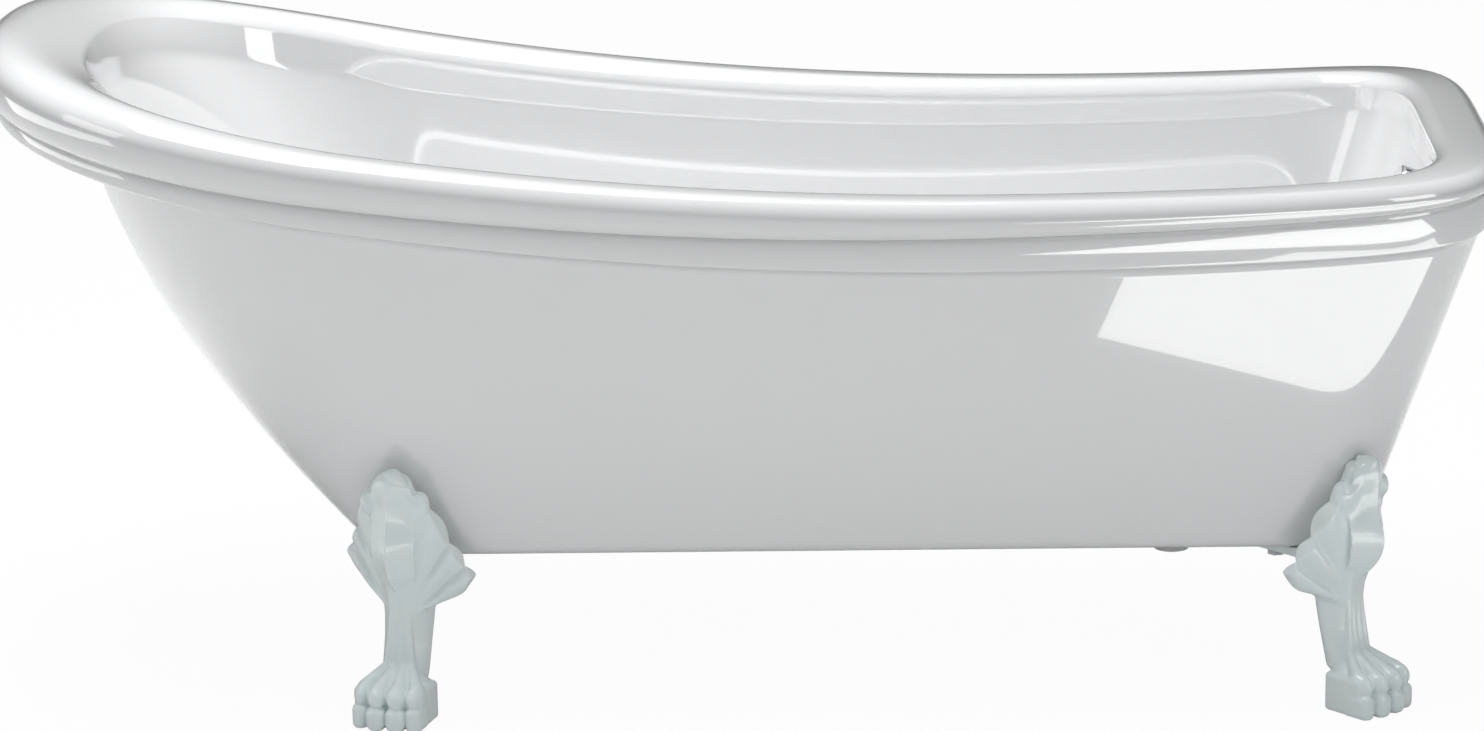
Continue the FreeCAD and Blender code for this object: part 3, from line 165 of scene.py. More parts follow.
@dataclass(frozen=True)
class RimSizes:
    """Sizes of the rim line and of the roll, in millimetres.

    The rim line is the widest line of the roll. It is highest at the slipper end.
    """

    length: float = 1700.0
    width: float = 750.0
    taper: float = 68.0 / 750.0
    low_height: float = 572.0
    low_place: float = 270.0
    slipper_rise: float = 135.0
    foot_rise: float = 22.0
    slipper_power: float = 2.41
    foot_power: float = 4.86
    growth: float = 0.255
    roll_width: float = 74.0
    roll_height: float = 22.0
    outer_radius: float = 25.0
    inner_radius: float = 30.0
    inner_drop: float = 25.0
    shoulder: float = 55.0
    skirt_drop: float = 50.0
    skirt_rise: float = 26.9
    skirt_inset: float = 8.0
    skirt_power: float = 2.4
    plan: Plan = Plan(-850.0, 850.0, 375.0, 433.0, 289.0)
    stations: tuple[int, int, int] = (72, 60, 80)

    def outline(self, plan: Plan) -> Array:
        """Array of n by 2 places round a plan, slipper end first, then the +Y side."""
        slipper, side, foot = self.stations
        start = plan.slipper_end + plan.slipper_nose
        end = plan.foot_end - plan.foot_nose
        angle = QUARTER * np.arange(slipper) / slipper
        head = superellipse(angle, self.slipper_power, plan.slipper_nose, plan.half_width)
        head[:, 0] = start - head[:, 0]
        along = start + (end - start) * np.arange(side + 1) / side
        flank = np.stack([along, np.full(side + 1, plan.half_width)], axis=1)
        angle = QUARTER * (1 - np.arange(1, foot + 1) / foot)
        tail = superellipse(angle, self.foot_power, plan.foot_nose, plan.half_width)
        tail[:, 0] += end
        half = np.concatenate([head, flank, tail])
        half[:, 1] *= 1 - self.taper * half[:, 0] / (self.length / 2)
        return np.concatenate([half, half[-2:0:-1] * (1, -1)])

    def height(self, x: Array) -> Array:
        """Height of the widest line: two parabolas that meet at the lowest place."""
        way, half = x - self.low_place, self.length / 2
        slipper = self.slipper_rise * (way / (self.low_place + half)) ** 2
        foot = self.foot_rise * (way / (half - self.low_place)) ** 2
        return self.low_height + np.where(way < 0, slipper, foot)

    def slipper_share(self) -> Array:
        """How much each station takes part in the slipper end: the square of its way along it."""
        start = self.plan.slipper_end + self.plan.slipper_nose
        depth = (start - self.outline(self.plan)[:, 0]) / self.plan.slipper_nose
        return np.maximum(depth, 0) ** 2

    def tucked(self, ring: Ring, amount: float) -> Ring:
        """The ring with its slipper end drawn in by at most an amount."""
        return ring + np.outer(self.slipper_share(), (amount, 0.0, 0.0))

    def ring(self, inset: float, lift: float, fixed: float = 0.0, rise: float = 0.0) -> Ring:
        """Loop that follows the rim, as an array of n by 3 places.

        Args:
            inset: distance in from the widest line, which grows with the roll.
            lift: distance up from it, which grows with the roll.
            fixed: distance in that is the same all round.
            rise: distance up that is the same all round.
        """
        outer = self.outline(self.plan)
        inner = self.outline(self.plan.shrunk(1.0))
        size = 1 - self.growth * outer[:, 0] / (self.length / 2)
        flat = outer + (inner - outer) * (inset * size + fixed)[:, None]
        return np.column_stack([flat, self.height(outer[:, 0]) + lift * size + rise])

    def level(self, plan: Plan, height: float) -> Ring:
        """A plan's outline at one height."""
        flat = self.outline(plan)
        return np.column_stack([flat, np.full(len(flat), height)])


RIM = RimSizes()


def hole_ring(outline: Ring, place: float, radius: float, height: float) -> Ring:
    """Circle round (place, 0) whose points lie in the directions of an outline's points."""
    angle = np.arctan2(outline[:, 1], outline[:, 0] - place)
    return np.column_stack([place + radius * np.cos(angle), radius * np.sin(angle),
                            np.full(len(outline), height)])


def floor_rows(outline: Ring, place: float, radius: float, height: float, count: int) -> Rows:
    """Rows across a flat floor from its outline to a round hole, closer near the hole.

    Args:
        outline: ring round the floor.
        place: x of the hole's middle.
        radius: radius of the hole.
        height: height of the floor.
        count: number of rows, which stand at the sines of even angles.

    Returns:
        The rows, without the outline itself.
    """
    hole = hole_ring(outline, place, radius, height)
    flat = np.column_stack([outline[:, :2], np.full(len(outline), height)])
    return [between(flat, hole, math.sin(QUARTER * step / count)) for step in range(1, count + 1)]


@dataclass
class Basin:
    """The inner skin with its rolled rim."""

    floor: float = 205.0
    back_floor: float = 199.0
    plan: Plan = Plan(-380.0, 655.0, 232.0, 150.0, 140.0)
    fillet_inset: float = 60.0
    fillet_rise: float = 80.0
    waste_place: float = 500.0
    waste_radius: float = 25.0
    edge_radius: float = 0.2
    skirt_rows: int = 8
    fillet_rows: int = 12
    edge_rows: int = 7

    def roll(self, shrink: float, fine: int) -> Rows:
        """Rows over the roll, from the skirt under its edge to the top of the wall.

        The skirt is a power curve, and the crown two quarter ellipses that meet at the top.

        Args:
            shrink: distance inside the wet face.
            fine: rows to each quarter.
        """
        rows = []
        for down in np.linspace(1.0, 0.0, self.skirt_rows)[:-1]:
            inset = RIM.skirt_inset * down**RIM.skirt_power + shrink
            rows.append(RIM.ring(inset, -RIM.skirt_drop * down, 0.0, RIM.skirt_rise * down))
        radius, height = RIM.outer_radius - shrink, RIM.roll_height - shrink
        for angle in np.linspace(0, QUARTER, fine, endpoint=False):
            inset = RIM.outer_radius - radius * math.cos(angle)
            rows.append(RIM.ring(inset, height * math.sin(angle)))
        radius, drop = RIM.inner_radius - shrink, RIM.inner_drop - shrink
        middle = RIM.roll_height - RIM.inner_drop
        for angle in np.linspace(0, QUARTER, fine, endpoint=False):
            ring = RIM.ring(radius * math.sin(angle) - RIM.inner_radius,
                            middle + drop * math.cos(angle), RIM.roll_width)
            rows.append(RIM.tucked(ring, RIM.shoulder * (1 - math.cos(angle))))
        return rows

    def wall(self, grow: float, floor: float, fine: int) -> Rows:
        """Rows down the straight wall and round the fillet on to the floor.

        Args:
            grow: distance outside the wet face.
            floor: height of the floor.
            fine: rows down the wall.
        """
        edge = RIM.ring(0, RIM.roll_height - 2 * RIM.inner_drop, RIM.roll_width - grow)
        top = RIM.tucked(edge, RIM.shoulder)
        foot = RIM.level(self.plan.shrunk(-grow), self.floor)
        corner = RIM.level(self.plan.shrunk(-grow), floor)
        share = (self.fillet_rise / (top[:, 2] - foot[:, 2]))[:, None]
        start = foot + (top - foot) * share
        inset = self.fillet_inset - grow
        flat_plan = Plan(self.plan.slipper_end + inset, self.plan.foot_end - inset,
                         self.plan.half_width - inset, self.plan.slipper_nose,
                         self.plan.foot_nose)
        flat = RIM.level(flat_plan, floor)
        rows = [between(top, start, step / fine) for step in range(fine)]
        return rows + [bent(start, corner, flat, step / self.fillet_rows)
                       for step in range(self.fillet_rows + 1)]

    def build(self) -> bpy.types.Object:
        """Make the skin: over the roll, down the wet face, through the waste hole and back up."""
        wet = self.roll(0.0, 12) + self.wall(0.0, self.floor, 22)
        wet += floor_rows(wet[-1], self.waste_place, self.waste_radius, self.floor, 14)
        back = self.roll(SKIN, 5) + self.wall(SKIN, self.back_floor, 8)
        back += floor_rows(back[-1], self.waste_place, self.waste_radius, self.back_floor, 6)
        edge = []
        for angle in np.linspace(0, np.pi, self.edge_rows)[1:-1]:
            inset = RIM.skirt_inset + SKIN / 2 * (1 + math.cos(angle))
            drop = self.edge_radius * math.sin(angle) - RIM.skirt_rise
            edge.append(RIM.ring(inset, -RIM.skirt_drop, 0.0, -drop))
        points, faces = closed_grid(wet + back[::-1] + edge)
        return new_object("basin_skin", points, faces)


@dataclass
class OuterShell:
    """The outer skin: flat bottom, sloping sides and the band under the roll."""

    bottom: float = 176.0
    plan: Plan = Plan(-445.0, 710.0, 276.0, 140.0, 148.0)
    edge_radius: float = 14.0
    overhang: float = 90.0
    belly: float = 52.0
    fit: float = 0.3
    band_step: float = 5.0
    band_drop: float = 53.5
    band_inset: float = 13.2
    lip_depth: float = 5.0
    undercut: float = 9.5
    band_crown: float = 1.0
    band_thickness: float = 7.0
    upstand_gap: float = 2.2
    waste_place: float = 500.0
    opening_radius: float = 50.0

    def side(self, grow: float, bottom: float) -> tuple[Ring, Ring, Ring]:
        """Rings at the foot of the side, at its top, and inside the edge of the flat bottom."""
        foot = RIM.level(self.plan.shrunk(-grow), bottom)
        rise = -self.band_drop - self.lip_depth - grow
        edge = RIM.ring(self.band_inset + self.undercut, 0.0, -grow, rise)
        top = RIM.tucked(edge, self.overhang)
        return foot, top, RIM.level(self.plan.shrunk(self.edge_radius), bottom)

    def at(self, foot: Ring, top: Ring, share: Array) -> Ring:
        """Place on the side's lines from foot to top, swollen by a parabola at the slipper end."""
        place = foot + (top - foot) * share[:, None]
        place[:, 0] -= self.belly * RIM.slipper_share() * 4 * share * (1 - share)
        return place

    def face(self, grow: float, bottom: float, edge: int, wall: int) -> Rows:
        """Rows from the flat bottom round its edge and up the side.

        Args:
            grow: distance outside the visible face.
            bottom: height of the flat bottom.
            edge: rows round the bottom's edge.
            wall: rows up the side.
        """
        foot, top, flat = self.side(grow, bottom)
        full = np.ones(len(foot))
        start = (self.edge_radius + grow) / (top[:, 2] - foot[:, 2])
        end = self.at(foot, top, start)
        rows = [bent(flat, foot, end, step / edge) for step in range(edge)]
        return rows + [self.at(foot, top, start + (full - start) * step / wall)
                       for step in range(wall + 1)]

    def band(self) -> Rows:
        """Rows round the lip, up the band to its step, over the upstand and down its back.

        The band swells by the parabola 4 t (1 - t) times its crown.
        """
        inset, drop, lip = self.band_inset, -self.band_drop, -self.band_drop - self.lip_depth
        lip_foot = RIM.ring(inset + self.lip_depth, 0.0, 0.0, lip)
        lip_corner = RIM.ring(inset, 0.0, 0.0, lip)
        lip_top = RIM.ring(inset, 0.0, 0.0, drop)
        rows = [bent(lip_foot, lip_corner, lip_top, share) for share in np.linspace(0, 1, 6)]
        step_rise = RIM.skirt_rise - self.fit
        step_inset = RIM.skirt_inset + self.band_step
        for share in np.linspace(0.2, 1, 5):
            swell = self.band_crown * 4 * share * (1 - share)
            rows.append(RIM.ring(inset + (step_inset - inset) * share - swell,
                                 -RIM.skirt_drop * share, 0.0,
                                 drop + (step_rise - drop) * share))
        upstand = RIM.skirt_inset + SKIN + self.upstand_gap
        crown = RIM.roll_height - SKIN - self.fit
        back = self.band_thickness
        around = ((upstand, -RIM.skirt_drop, 0.0, step_rise),
                  (RIM.outer_radius, crown),
                  (RIM.outer_radius + back, crown),
                  (upstand + back, -RIM.skirt_drop, 0.0, step_rise),
                  ((inset + step_inset) / 2 + back, -RIM.skirt_drop / 2, 0.0,
                   (step_rise + drop) / 2),
                  (inset + back, 0.0, 0.0, drop))
        return rows + [RIM.ring(*sizes) for sizes in around]

    def build(self) -> bpy.types.Object:
        """Make the skin: waste opening, bottom, side and band, and the same way back inside."""
        outside = self.face(0.0, self.bottom, 8, 30)
        under = floor_rows(outside[0], self.waste_place, self.opening_radius, self.bottom, 8)
        inner_bottom = self.bottom + SKIN
        inside = self.face(-SKIN, inner_bottom, 4, 10)
        above = floor_rows(inside[0], self.waste_place, self.opening_radius, inner_bottom, 5)
        rows = under[::-1] + outside + self.band() + inside[::-1] + above
        points, faces = closed_grid(rows)
        return new_object("outer_skin", points, faces[:, ::-1])


# ---------------------------------------- carved legs
@dataclass(frozen=True)
class Profile:
    """A line of straight runs through some bends, rounded by a bell.

    Attributes:
        stops: places of the bends.
        values: the line's values there.
        blur: width of the bell.
    """

    stops: tuple[float, ...]
    values: tuple[float, ...]
    blur: float = 5.0

    def at(self, place: Array) -> Array:
        """The line's value at each place."""
        blur = self.blur
        table = np.arange(self.stops[0] - 4 * blur, self.stops[-1] + 4 * blur, 1.0)
        reach = np.arange(-int(3 * blur), int(3 * blur) + 1)
        margin = len(reach)
        bell = np.exp(-0.5 * (reach / blur) ** 2)
        wide = np.interp(np.arange(table[0] - margin, table[-1] + margin, 1.0),
                         self.stops, self.values)
        soft = np.convolve(wide, bell / bell.sum(), mode="same")[margin:margin + len(table)]
        return np.interp(place, table, soft)


def blended(one: Array, other: Array, blend: float) -> Array:
    """Smooth union of two fields: h = half plus half their difference over the blend."""
    share = np.clip(0.5 + 0.5 * (other - one) / blend, 0, 1)
    return other + (one - other) * share - blend * share * (1 - share)


def pared(one: Array, other: Array, blend: float) -> Array:
    """Smooth intersection of two fields."""
    return -blended(-one, -other, blend)


def diamond(x: Array, y: Array, power: Array) -> Array:
    """Reach of a superellipse, (|x|**p + |y|**p)**(1/p), which is a diamond where p is 1."""
    return (np.abs(x) ** power + np.abs(y) ** power + 1e-9) ** (1 / power)


def rod(at: Place, start: Point, end: Point, start_radius: float,
        end_radius: float) -> Array:
    """Distance to a round rod whose radius runs evenly from start to end."""
    run = np.subtract(end, start)
    d, s, z = (place - first for place, first in zip(at, start))
    share = np.clip((d * run[0] + s * run[1] + z * run[2]) / (run @ run), 0, 1)
    away = np.sqrt((d - run[0] * share) ** 2 + (s - run[1] * share) ** 2
                   + (z - run[2] * share) ** 2)
    return away - start_radius - (end_radius - start_radius) * share


def pebble(at: Place, middle: Point, radii: Point) -> Array:
    """Near distance to an ellipsoid: q (q - 1) over the length of its scaled gradient."""
    away = [place - centre for place, centre in zip(at, middle)]
    one = np.sqrt(sum((part / radius) ** 2 for part, radius in zip(away, radii)))
    two = np.sqrt(sum((part / radius**2) ** 2 for part, radius in zip(away, radii)))
    return one * (one - 1) / np.maximum(two, 1e-6)


def soft_box(at: Place, low: Point, high: Point, radius: float) -> Array:
    """Distance to a box with rounded edges."""
    away = []
    for place, start, end in zip(at, low, high):
        away.append(np.abs(place - (start + end) / 2) - (end - start) / 2 + radius)
    outside = np.sqrt(sum(np.maximum(part, 0) ** 2 for part in away))
    inside = np.minimum(np.maximum(np.maximum(away[0], away[1]), away[2]), 0)
    return outside + inside - radius


def carved(distance: Field, low: Point, high: Point,
           step: float) -> tuple[Array, Array]:
    """Skin of the space where a field is below zero, by surface nets.

    One point stands in each cell that the surface crosses, at the mean of its crossings, and
    one quad round each crossed edge. Newton steps then pull the points on to the surface.

    Args:
        distance: signed distance to the skin, in millimetres.
        low: lowest corner of the grid.
        high: highest corner of the grid.
        step: size of a cell.

    Returns:
        The points and the quads, facing outwards.
    """
    axes = [np.arange(start, end + step, step) for start, end in zip(low, high)]
    value = distance(np.meshgrid(*axes, indexing="ij")).astype(np.float32)
    inside = value < 0
    corners = [(i, j, k) for i in (0, 1) for j in (0, 1) for k in (0, 1)]

    def at(grid: Array, corner: tuple[int, int, int]) -> Array:
        """The grid's value at one corner of every cell."""
        return grid[tuple(slice(part, size - 1 + part)
                          for part, size in zip(corner, grid.shape))]

    count = sum(at(inside, corner).astype(np.int8) for corner in corners)
    active = (count > 0) & (count < 8)
    number = np.full(active.shape, -1, dtype=np.int64)
    number[active] = np.arange(int(active.sum()))
    total = np.zeros((int(active.sum()), 3))
    crossings = np.zeros(len(total))
    for axis in range(3):
        for corner in (corner for corner in corners if corner[axis] == 0):
            far = tuple(part + (axis == place) for place, part in enumerate(corner))
            start, end = at(value, corner)[active], at(value, far)[active]
            crossed = (start < 0) != (end < 0)
            share = np.where(crossed, start / np.where(crossed, start - end, 1.0), 0.0)
            where = np.tile(np.array(corner, float), (len(total), 1))
            where[:, axis] += share
            total += where * crossed[:, None]
            crossings += crossed
    origin = np.array([axis[0] for axis in axes])
    points = (np.argwhere(active) + total / crossings[:, None]) * step + origin
    quads = []
    for axis in range(3):
        first, second = (axis + 1) % 3, (axis + 2) % 3
        one = [slice(1, -1)] * 3
        one[axis] = slice(0, -1)
        two = list(one)
        two[axis] = slice(1, None)
        leaving = inside[tuple(one)] & ~inside[tuple(two)]
        entering = ~inside[tuple(one)] & inside[tuple(two)]
        for crossed, backwards in ((leaving, False), (entering, True)):
            place = np.argwhere(crossed)
            place[:, first] += 1
            place[:, second] += 1
            loop = []
            for back, side in ((1, 1), (0, 1), (0, 0), (1, 0)):
                cell = place.copy()
                cell[:, first] -= back
                cell[:, second] -= side
                loop.append(number[tuple(cell.T)])
            quad = np.stack(loop, axis=1)
            quads.append(quad[:, ::-1] if backwards else quad)
    reach, flattest, longest = 0.3, 0.05, 0.6 * step
    for _ in range(2):
        slope = np.stack([distance((points + reach * turn).T) - distance((points - reach * turn).T)
                          for turn in np.eye(3)], axis=1) / (2 * reach)
        steepness = np.maximum((slope**2).sum(1), flattest)[:, None]
        move = distance(points.T)[:, None] * slope / steepness
        points = points - np.clip(move, -longest, longest)
    return points, np.concatenate(quads)


@dataclass(frozen=True)
class ShaftSizes:
    """Lines up the shaft and the knee, by height, in millimetres.

    Attributes:
        middle: how far out the section's middle is.
        facet: how far out the flat facet in front is.
        breadth: half width of the section.
        power: how square the section is.
        back_depth: from the section's middle to its back.
        nose_depth: how far the section would reach past its facet.
    """

    middle: Profile = Profile(
        (40, 62, 90, 115, 133, 150, 175, 200, 230, 260, 290),
        (-32, -37, -45, -50, -51, -49, -42, -34, -26, -19, -12))
    facet: Profile = Profile(
        (36, 52, 60, 70, 88, 114, 140, 160, 180, 220, 290),
        (4, -2, -7, -12, -16.5, -18.5, -17, -13, -9, -5, -4))
    breadth: Profile = Profile(
        (40, 62, 90, 115, 131, 150, 172, 195, 220, 245, 268, 290),
        (26, 27.5, 28, 29.5, 31, 35, 39, 40, 35, 28, 22, 16))
    power: Profile = Profile((60, 110, 150, 290), (1.5, 1.35, 1.4, 1.6))
    back_depth: float = 19.0
    nose_depth: float = 7.0
    foot: float = 42.0


@dataclass(frozen=True)
class LeafSizes:
    """Lines up the raised leaf on the front of the knee, by height, in millimetres.

    Attributes:
        keel: how far out the keel is.
        thickness: from the keel back to the section's middle.
        breadth: half width of the leaf.
        power: how hollow its sides are: below 1 they are hollow.
        foot: height of its lowest place.
    """

    keel: Profile = Profile(
        (140, 150, 158, 170, 184, 196, 209, 222, 236, 250, 262, 276, 286, 292),
        (-22, -12, -2, 10, 18.5, 21.5, 19.5, 15, 11, 9.5, 10.5, 12, 9, 4), 7.0)
    thickness: Profile = Profile((140, 160, 185, 210, 240, 265, 292), (9, 17, 25, 25, 21, 18, 14))
    breadth: Profile = Profile(
        (143, 147, 154, 166, 185, 210, 235, 258, 272, 281, 287, 291),
        (2, 9, 17, 22.5, 26, 27, 26.5, 25.5, 22.5, 17, 10, 2), 1.5)
    power: Profile = Profile((140, 160, 190, 250, 292), (1.5, 1.0, 0.88, 0.92, 1.7))
    foot: float = 143.0


@dataclass(frozen=True)
class WingSizes:
    """Lines out along a wing, by the distance from the middle of the leg, in millimetres.

    Attributes:
        upper: height of its upper edge.
        lower: height of its lower edge.
        sweep: how far out its middle sheet is.
        thickness: half its thickness.
        tilt: rise of the wing on the side towards the tub's middle, per millimetre.
        fan: place behind the shaft that the lobes fan out from, across and up.
        first_lobe: angle of one lobe's middle, in degrees.
        lobe_pitch: angle from lobe to lobe, in degrees.
        fold: how far the lobes swell and their creases sink.
        scallop: how far the lobes push the edge out.
        tip: reach of the wing.
    """

    upper: Profile = Profile((0, 16, 25, 33, 40, 47, 54, 62, 68, 76),
                             (272, 268, 259, 255, 247, 231, 212, 195, 185, 169), 2.0)
    lower: Profile = Profile((0, 20, 30, 40, 50, 59, 65, 69, 76),
                             (118, 127, 131, 135, 138, 141, 146, 156, 169), 1.5)
    sweep: Profile = Profile((0, 14, 30, 50, 76), (-31, -31, -34, -44, -57))
    thickness: Profile = Profile((0, 20, 45, 66, 76), (14, 13, 10, 7, 5))
    tilt: float = 0.1
    fan: tuple[float, float] = (-15.0, 95.0)
    first_lobe: float = 27.5
    lobe_pitch: float = 12.4
    fold: float = 8.0
    scallop: float = 3.4
    tip: float = 77.0


@dataclass(frozen=True)
class PawSizes:
    """Sizes of the paw, in millimetres.

    Attributes:
        toes: place across and half breadth of each toe.
        reach: half width of the block that the toes stand in front of.
        back: how far out the block starts.
        front: how far out it ends.
        ledge: height of the block.
        toe_tip: how far out the middle of the row of toes reaches.
        toe_curve: how much the row falls back, per square millimetre across.
        pad_height: height of the pads.
        pad_depth: length of the pads.
        ankle: height where the tendons leave the shaft.
    """

    toes: tuple[tuple[float, float], ...] = (
        (-31.5, 9.0), (-11.5, 11.2), (11.5, 11.2), (31.5, 9.0))
    reach: float = 40.0
    back: float = -29.0
    front: float = 24.0
    ledge: float = 46.0
    toe_tip: float = 41.5
    toe_curve: float = 0.0075
    pad_height: float = 30.0
    pad_depth: float = 36.0
    ankle: float = 64.0


@dataclass
class ClawLeg:
    """One leg: paw with four toes, shaft, knee with its leaf, and two folded wings.

    The leg is carved in its own frame: d runs outwards from the middle of the paw, s across
    and z up, in millimetres.

    Attributes:
        name: name of the near leg.
        node: the node that it stands for.
        foot_pad: the node of the foot pad under it.
        heading: direction that it faces, in degrees from +X.
        inner: the sign of s towards the tub's middle.
        ground: height of the tub's flat bottom.
        top: height of the leg.
        tongue_reach: how far in the tongue under the tub reaches.
        pad_room: radius and height of the room for the foot pad.
        stud_room: radius and height of the room for its stud.
        gap: gap to the tub.
        step: cell of the grid that it is carved in.
        side: how far out the tub's side is, by height and by place across.
    """

    name: str
    node: str
    foot_pad: str
    heading: float
    inner: int = 1
    ground: float = 176.0
    top: float = 289.0
    tongue_reach: float = 142.0
    pad_room: tuple[float, float] = (17.6, 6.8)
    stud_room: tuple[float, float] = (5.4, 38.0)
    gap: float = 0.3
    step: float = 1.5
    shaft_sizes: ShaftSizes = ShaftSizes()
    leaf_sizes: LeafSizes = LeafSizes()
    wing_sizes: WingSizes = WingSizes()
    paw_sizes: PawSizes = PawSizes()
    side: Array = field(default_factory=lambda: np.zeros((1, 1)))

    def place(self) -> Array:
        """Middle of the paw, which stands over the middle of its foot pad."""
        low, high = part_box(self.foot_pad)
        return np.array([(low.x + high.x) / 2, (low.y + high.y) / 2]) / MM

    def learn_side(self, shell: OuterShell) -> None:
        """Note how far out the tub's side is at each height and each place across the leg."""
        rows = np.stack(shell.face(0.0, shell.bottom, 10, 40))
        turn = math.radians(self.heading)
        out = np.array([math.cos(turn), math.sin(turn)])
        across = np.array([-math.sin(turn), math.cos(turn)])
        middle = self.place()
        depth, way = (rows[:, :, :2] - middle) @ out, (rows[:, :, :2] - middle) @ across
        near = (np.abs(way[-1]) < 260) & (depth[-1] > -250)
        levels = np.arange(self.ground, self.ground + 140, 1.0)
        columns = np.flatnonzero(near)
        depths, ways = (
            np.stack([np.interp(levels, rows[:, column, 2], part[:, column])
                      for column in columns], axis=1) for part in (depth, way))
        places = np.arange(-100, 101, 1.0)
        order = np.argsort(ways, axis=1)
        self.side = np.stack([np.interp(places, row[turned], deep[turned])
                              for row, deep, turned in zip(ways, depths, order)])

    def tub(self, at: Place) -> Array:
        """Distance to the tub: how far out of its side, or below its flat bottom."""
        d, s, z = at
        row = np.clip(z - self.ground, 0, self.side.shape[0] - 2)
        column = np.clip(s + 100, 0, self.side.shape[1] - 2)
        i, j = row.astype(int), column.astype(int)
        a, b = row - i, column - j
        depth = ((1 - a) * (1 - b) * self.side[i, j] + a * (1 - b) * self.side[i + 1, j]
                 + (1 - a) * b * self.side[i, j + 1] + a * b * self.side[i + 1, j + 1])
        return np.maximum((d - depth) * 0.96, self.ground - z)

    def shaft(self, at: Place) -> Array:
        """Shaft and knee: lopsided diamonds with a flat facet in front."""
        d, s, z = at
        sizes = self.shaft_sizes
        middle, facet, broad = sizes.middle.at(z), sizes.facet.at(z), sizes.breadth.at(z)
        deep = np.where(d > middle, facet + sizes.nose_depth - middle, sizes.back_depth)
        across = diamond((d - middle) / deep, s / broad, sizes.power.at(z))
        body = pared((across - 1) * np.minimum(deep, broad) * 0.8, d - facet, 1.5)
        return pared(body, np.maximum(z - self.top + 6, sizes.foot - z), 8)

    def leaf(self, at: Place) -> Array:
        """Raised leaf down the front of the knee: diamonds with hollow sides and a keel."""
        d, s, z = at
        sizes = self.leaf_sizes
        keel, thick, broad = sizes.keel.at(z), sizes.thickness.at(z), sizes.breadth.at(z)
        across = diamond((d - keel + thick) / thick, s / broad, sizes.power.at(z))
        ends = np.maximum(z - self.top, sizes.foot - z)
        return pared((across - 1) * np.minimum(thick, broad) * 0.7, ends, 3)

    def wings(self, at: Place) -> Array:
        """Two swept sheets of rounded lobes that fan out from the shaft, with creases between.

        Round a point low behind the shaft, the lobes are the absolute cosine of the angle, so
        the same waves give the folds of the sheet and the scallops of its edge.
        """
        d, s, z = at
        sizes = self.wing_sizes
        a = np.abs(s)
        turned = z + sizes.tilt * self.inner * s
        angle = np.degrees(np.arctan2(turned - sizes.fan[1], a - sizes.fan[0]))
        lobe = np.abs(np.cos(np.pi * (angle - sizes.first_lobe) / sizes.lobe_pitch)) - 0.6
        sweep = (sizes.sweep.at(a) + 0.2 * np.clip(turned - self.ground, -40, 110)
                 + 0.07 * self.inner * s)
        rise = np.clip((a - 18) / 26, 0, 1)
        sheet = np.abs(d - sweep) - (sizes.thickness.at(a) + rise * sizes.fold * lobe)
        edge = np.maximum(turned - sizes.upper.at(a), sizes.lower.at(a) - turned) * 0.72
        return pared(pared(sheet, edge - rise * sizes.scallop * lobe, 5), a - sizes.tip, 3)

    def paw(self, at: Place) -> Array:
        """Block with a ledge round it, four toes with knuckles over pads, and their tendons."""
        sizes = self.paw_sizes
        body = soft_box(at, (sizes.back, -sizes.reach, 2), (sizes.front, sizes.reach, sizes.ledge),
                        5.0)
        tips = [sizes.toe_tip - sizes.toe_curve * place**2 for place, _ in sizes.toes]
        for (place, breadth), tip in zip(sizes.toes, tips):
            pad = soft_box(at, (tip - sizes.pad_depth, place - breadth, 0),
                           (tip, place + breadth, sizes.pad_height), breadth - 0.8)
            body = blended(body, pad, 1.6)
        body = blended(body, pebble(at, (-14, 0, 46), (27, 31, 15)), 8)
        for (place, breadth), tip in zip(sizes.toes, tips):
            knuckle = pebble(at, (tip - 18, place * 0.97, 38), (16.5, breadth * 1.04, 13.5))
            ankle = (-15, place * 0.44, sizes.ankle)
            upper = rod(at, (-20.5, place * 0.32, 122), ankle, 1.8, 4.4)
            lower = rod(at, ankle, (tip - 23, place * 0.94, 46), 4.4, 7.5)
            tendon = blended(blended(upper, lower, 2), knuckle, 4)
            body = blended(body, tendon, 2.8)
        return body

    def distance(self, at: Place) -> Array:
        """Signed distance to the whole leg, with the tub, the pad and its stud cut out."""
        d, s, z = at
        body = blended(self.shaft(at), self.wings(at), 6)
        for hand in (-1, 1):
            scroll = pebble(at, (-16, hand * 29.5, 250), (12, 10.5, 15))
            body = blended(body, scroll, 5.0)
        body = blended(body, self.leaf(at), 1.6)
        body = blended(body, self.paw(at), 2.5)
        tongue = soft_box(at, (-self.tongue_reach, -35, self.ground - 10),
                          (-34, 35, self.ground - 0.1), 0.8)
        body = blended(body, tongue, 3)
        body = np.maximum(body, self.gap - self.tub(at))
        for radius, height in (self.pad_room, self.stud_room):
            body = np.maximum(body, -np.maximum(np.hypot(d, s) - radius, z - height))
        return np.maximum(body, 2.0 - z)

    def build(self, shell: OuterShell, twin: str, twin_node: str) -> list[bpy.types.Object]:
        """Carve the leg to lie against the shell, and its twin, mirrored across the tub."""
        self.learn_side(shell)
        step = self.step
        points, quads = carved(self.distance, (-148, -80, -4), (48, 80, 296), step)
        turn = math.radians(self.heading)
        middle = self.place()
        d, s, z = points.T
        world = np.column_stack([middle[0] + d * math.cos(turn) - s * math.sin(turn),
                                 middle[1] + d * math.sin(turn) + s * math.cos(turn), z])
        made = []
        for name, node, places, faces in (
                (self.name, self.node, world, quads),
                (twin, twin_node, world * (1, -1, 1), quads[:, ::-1])):
            thing = new_object(name, places, faces)
            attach(thing, "tub")
            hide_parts(node)
            made.append(thing)
            log.info("%s: %d faces", name, len(faces))
        return made


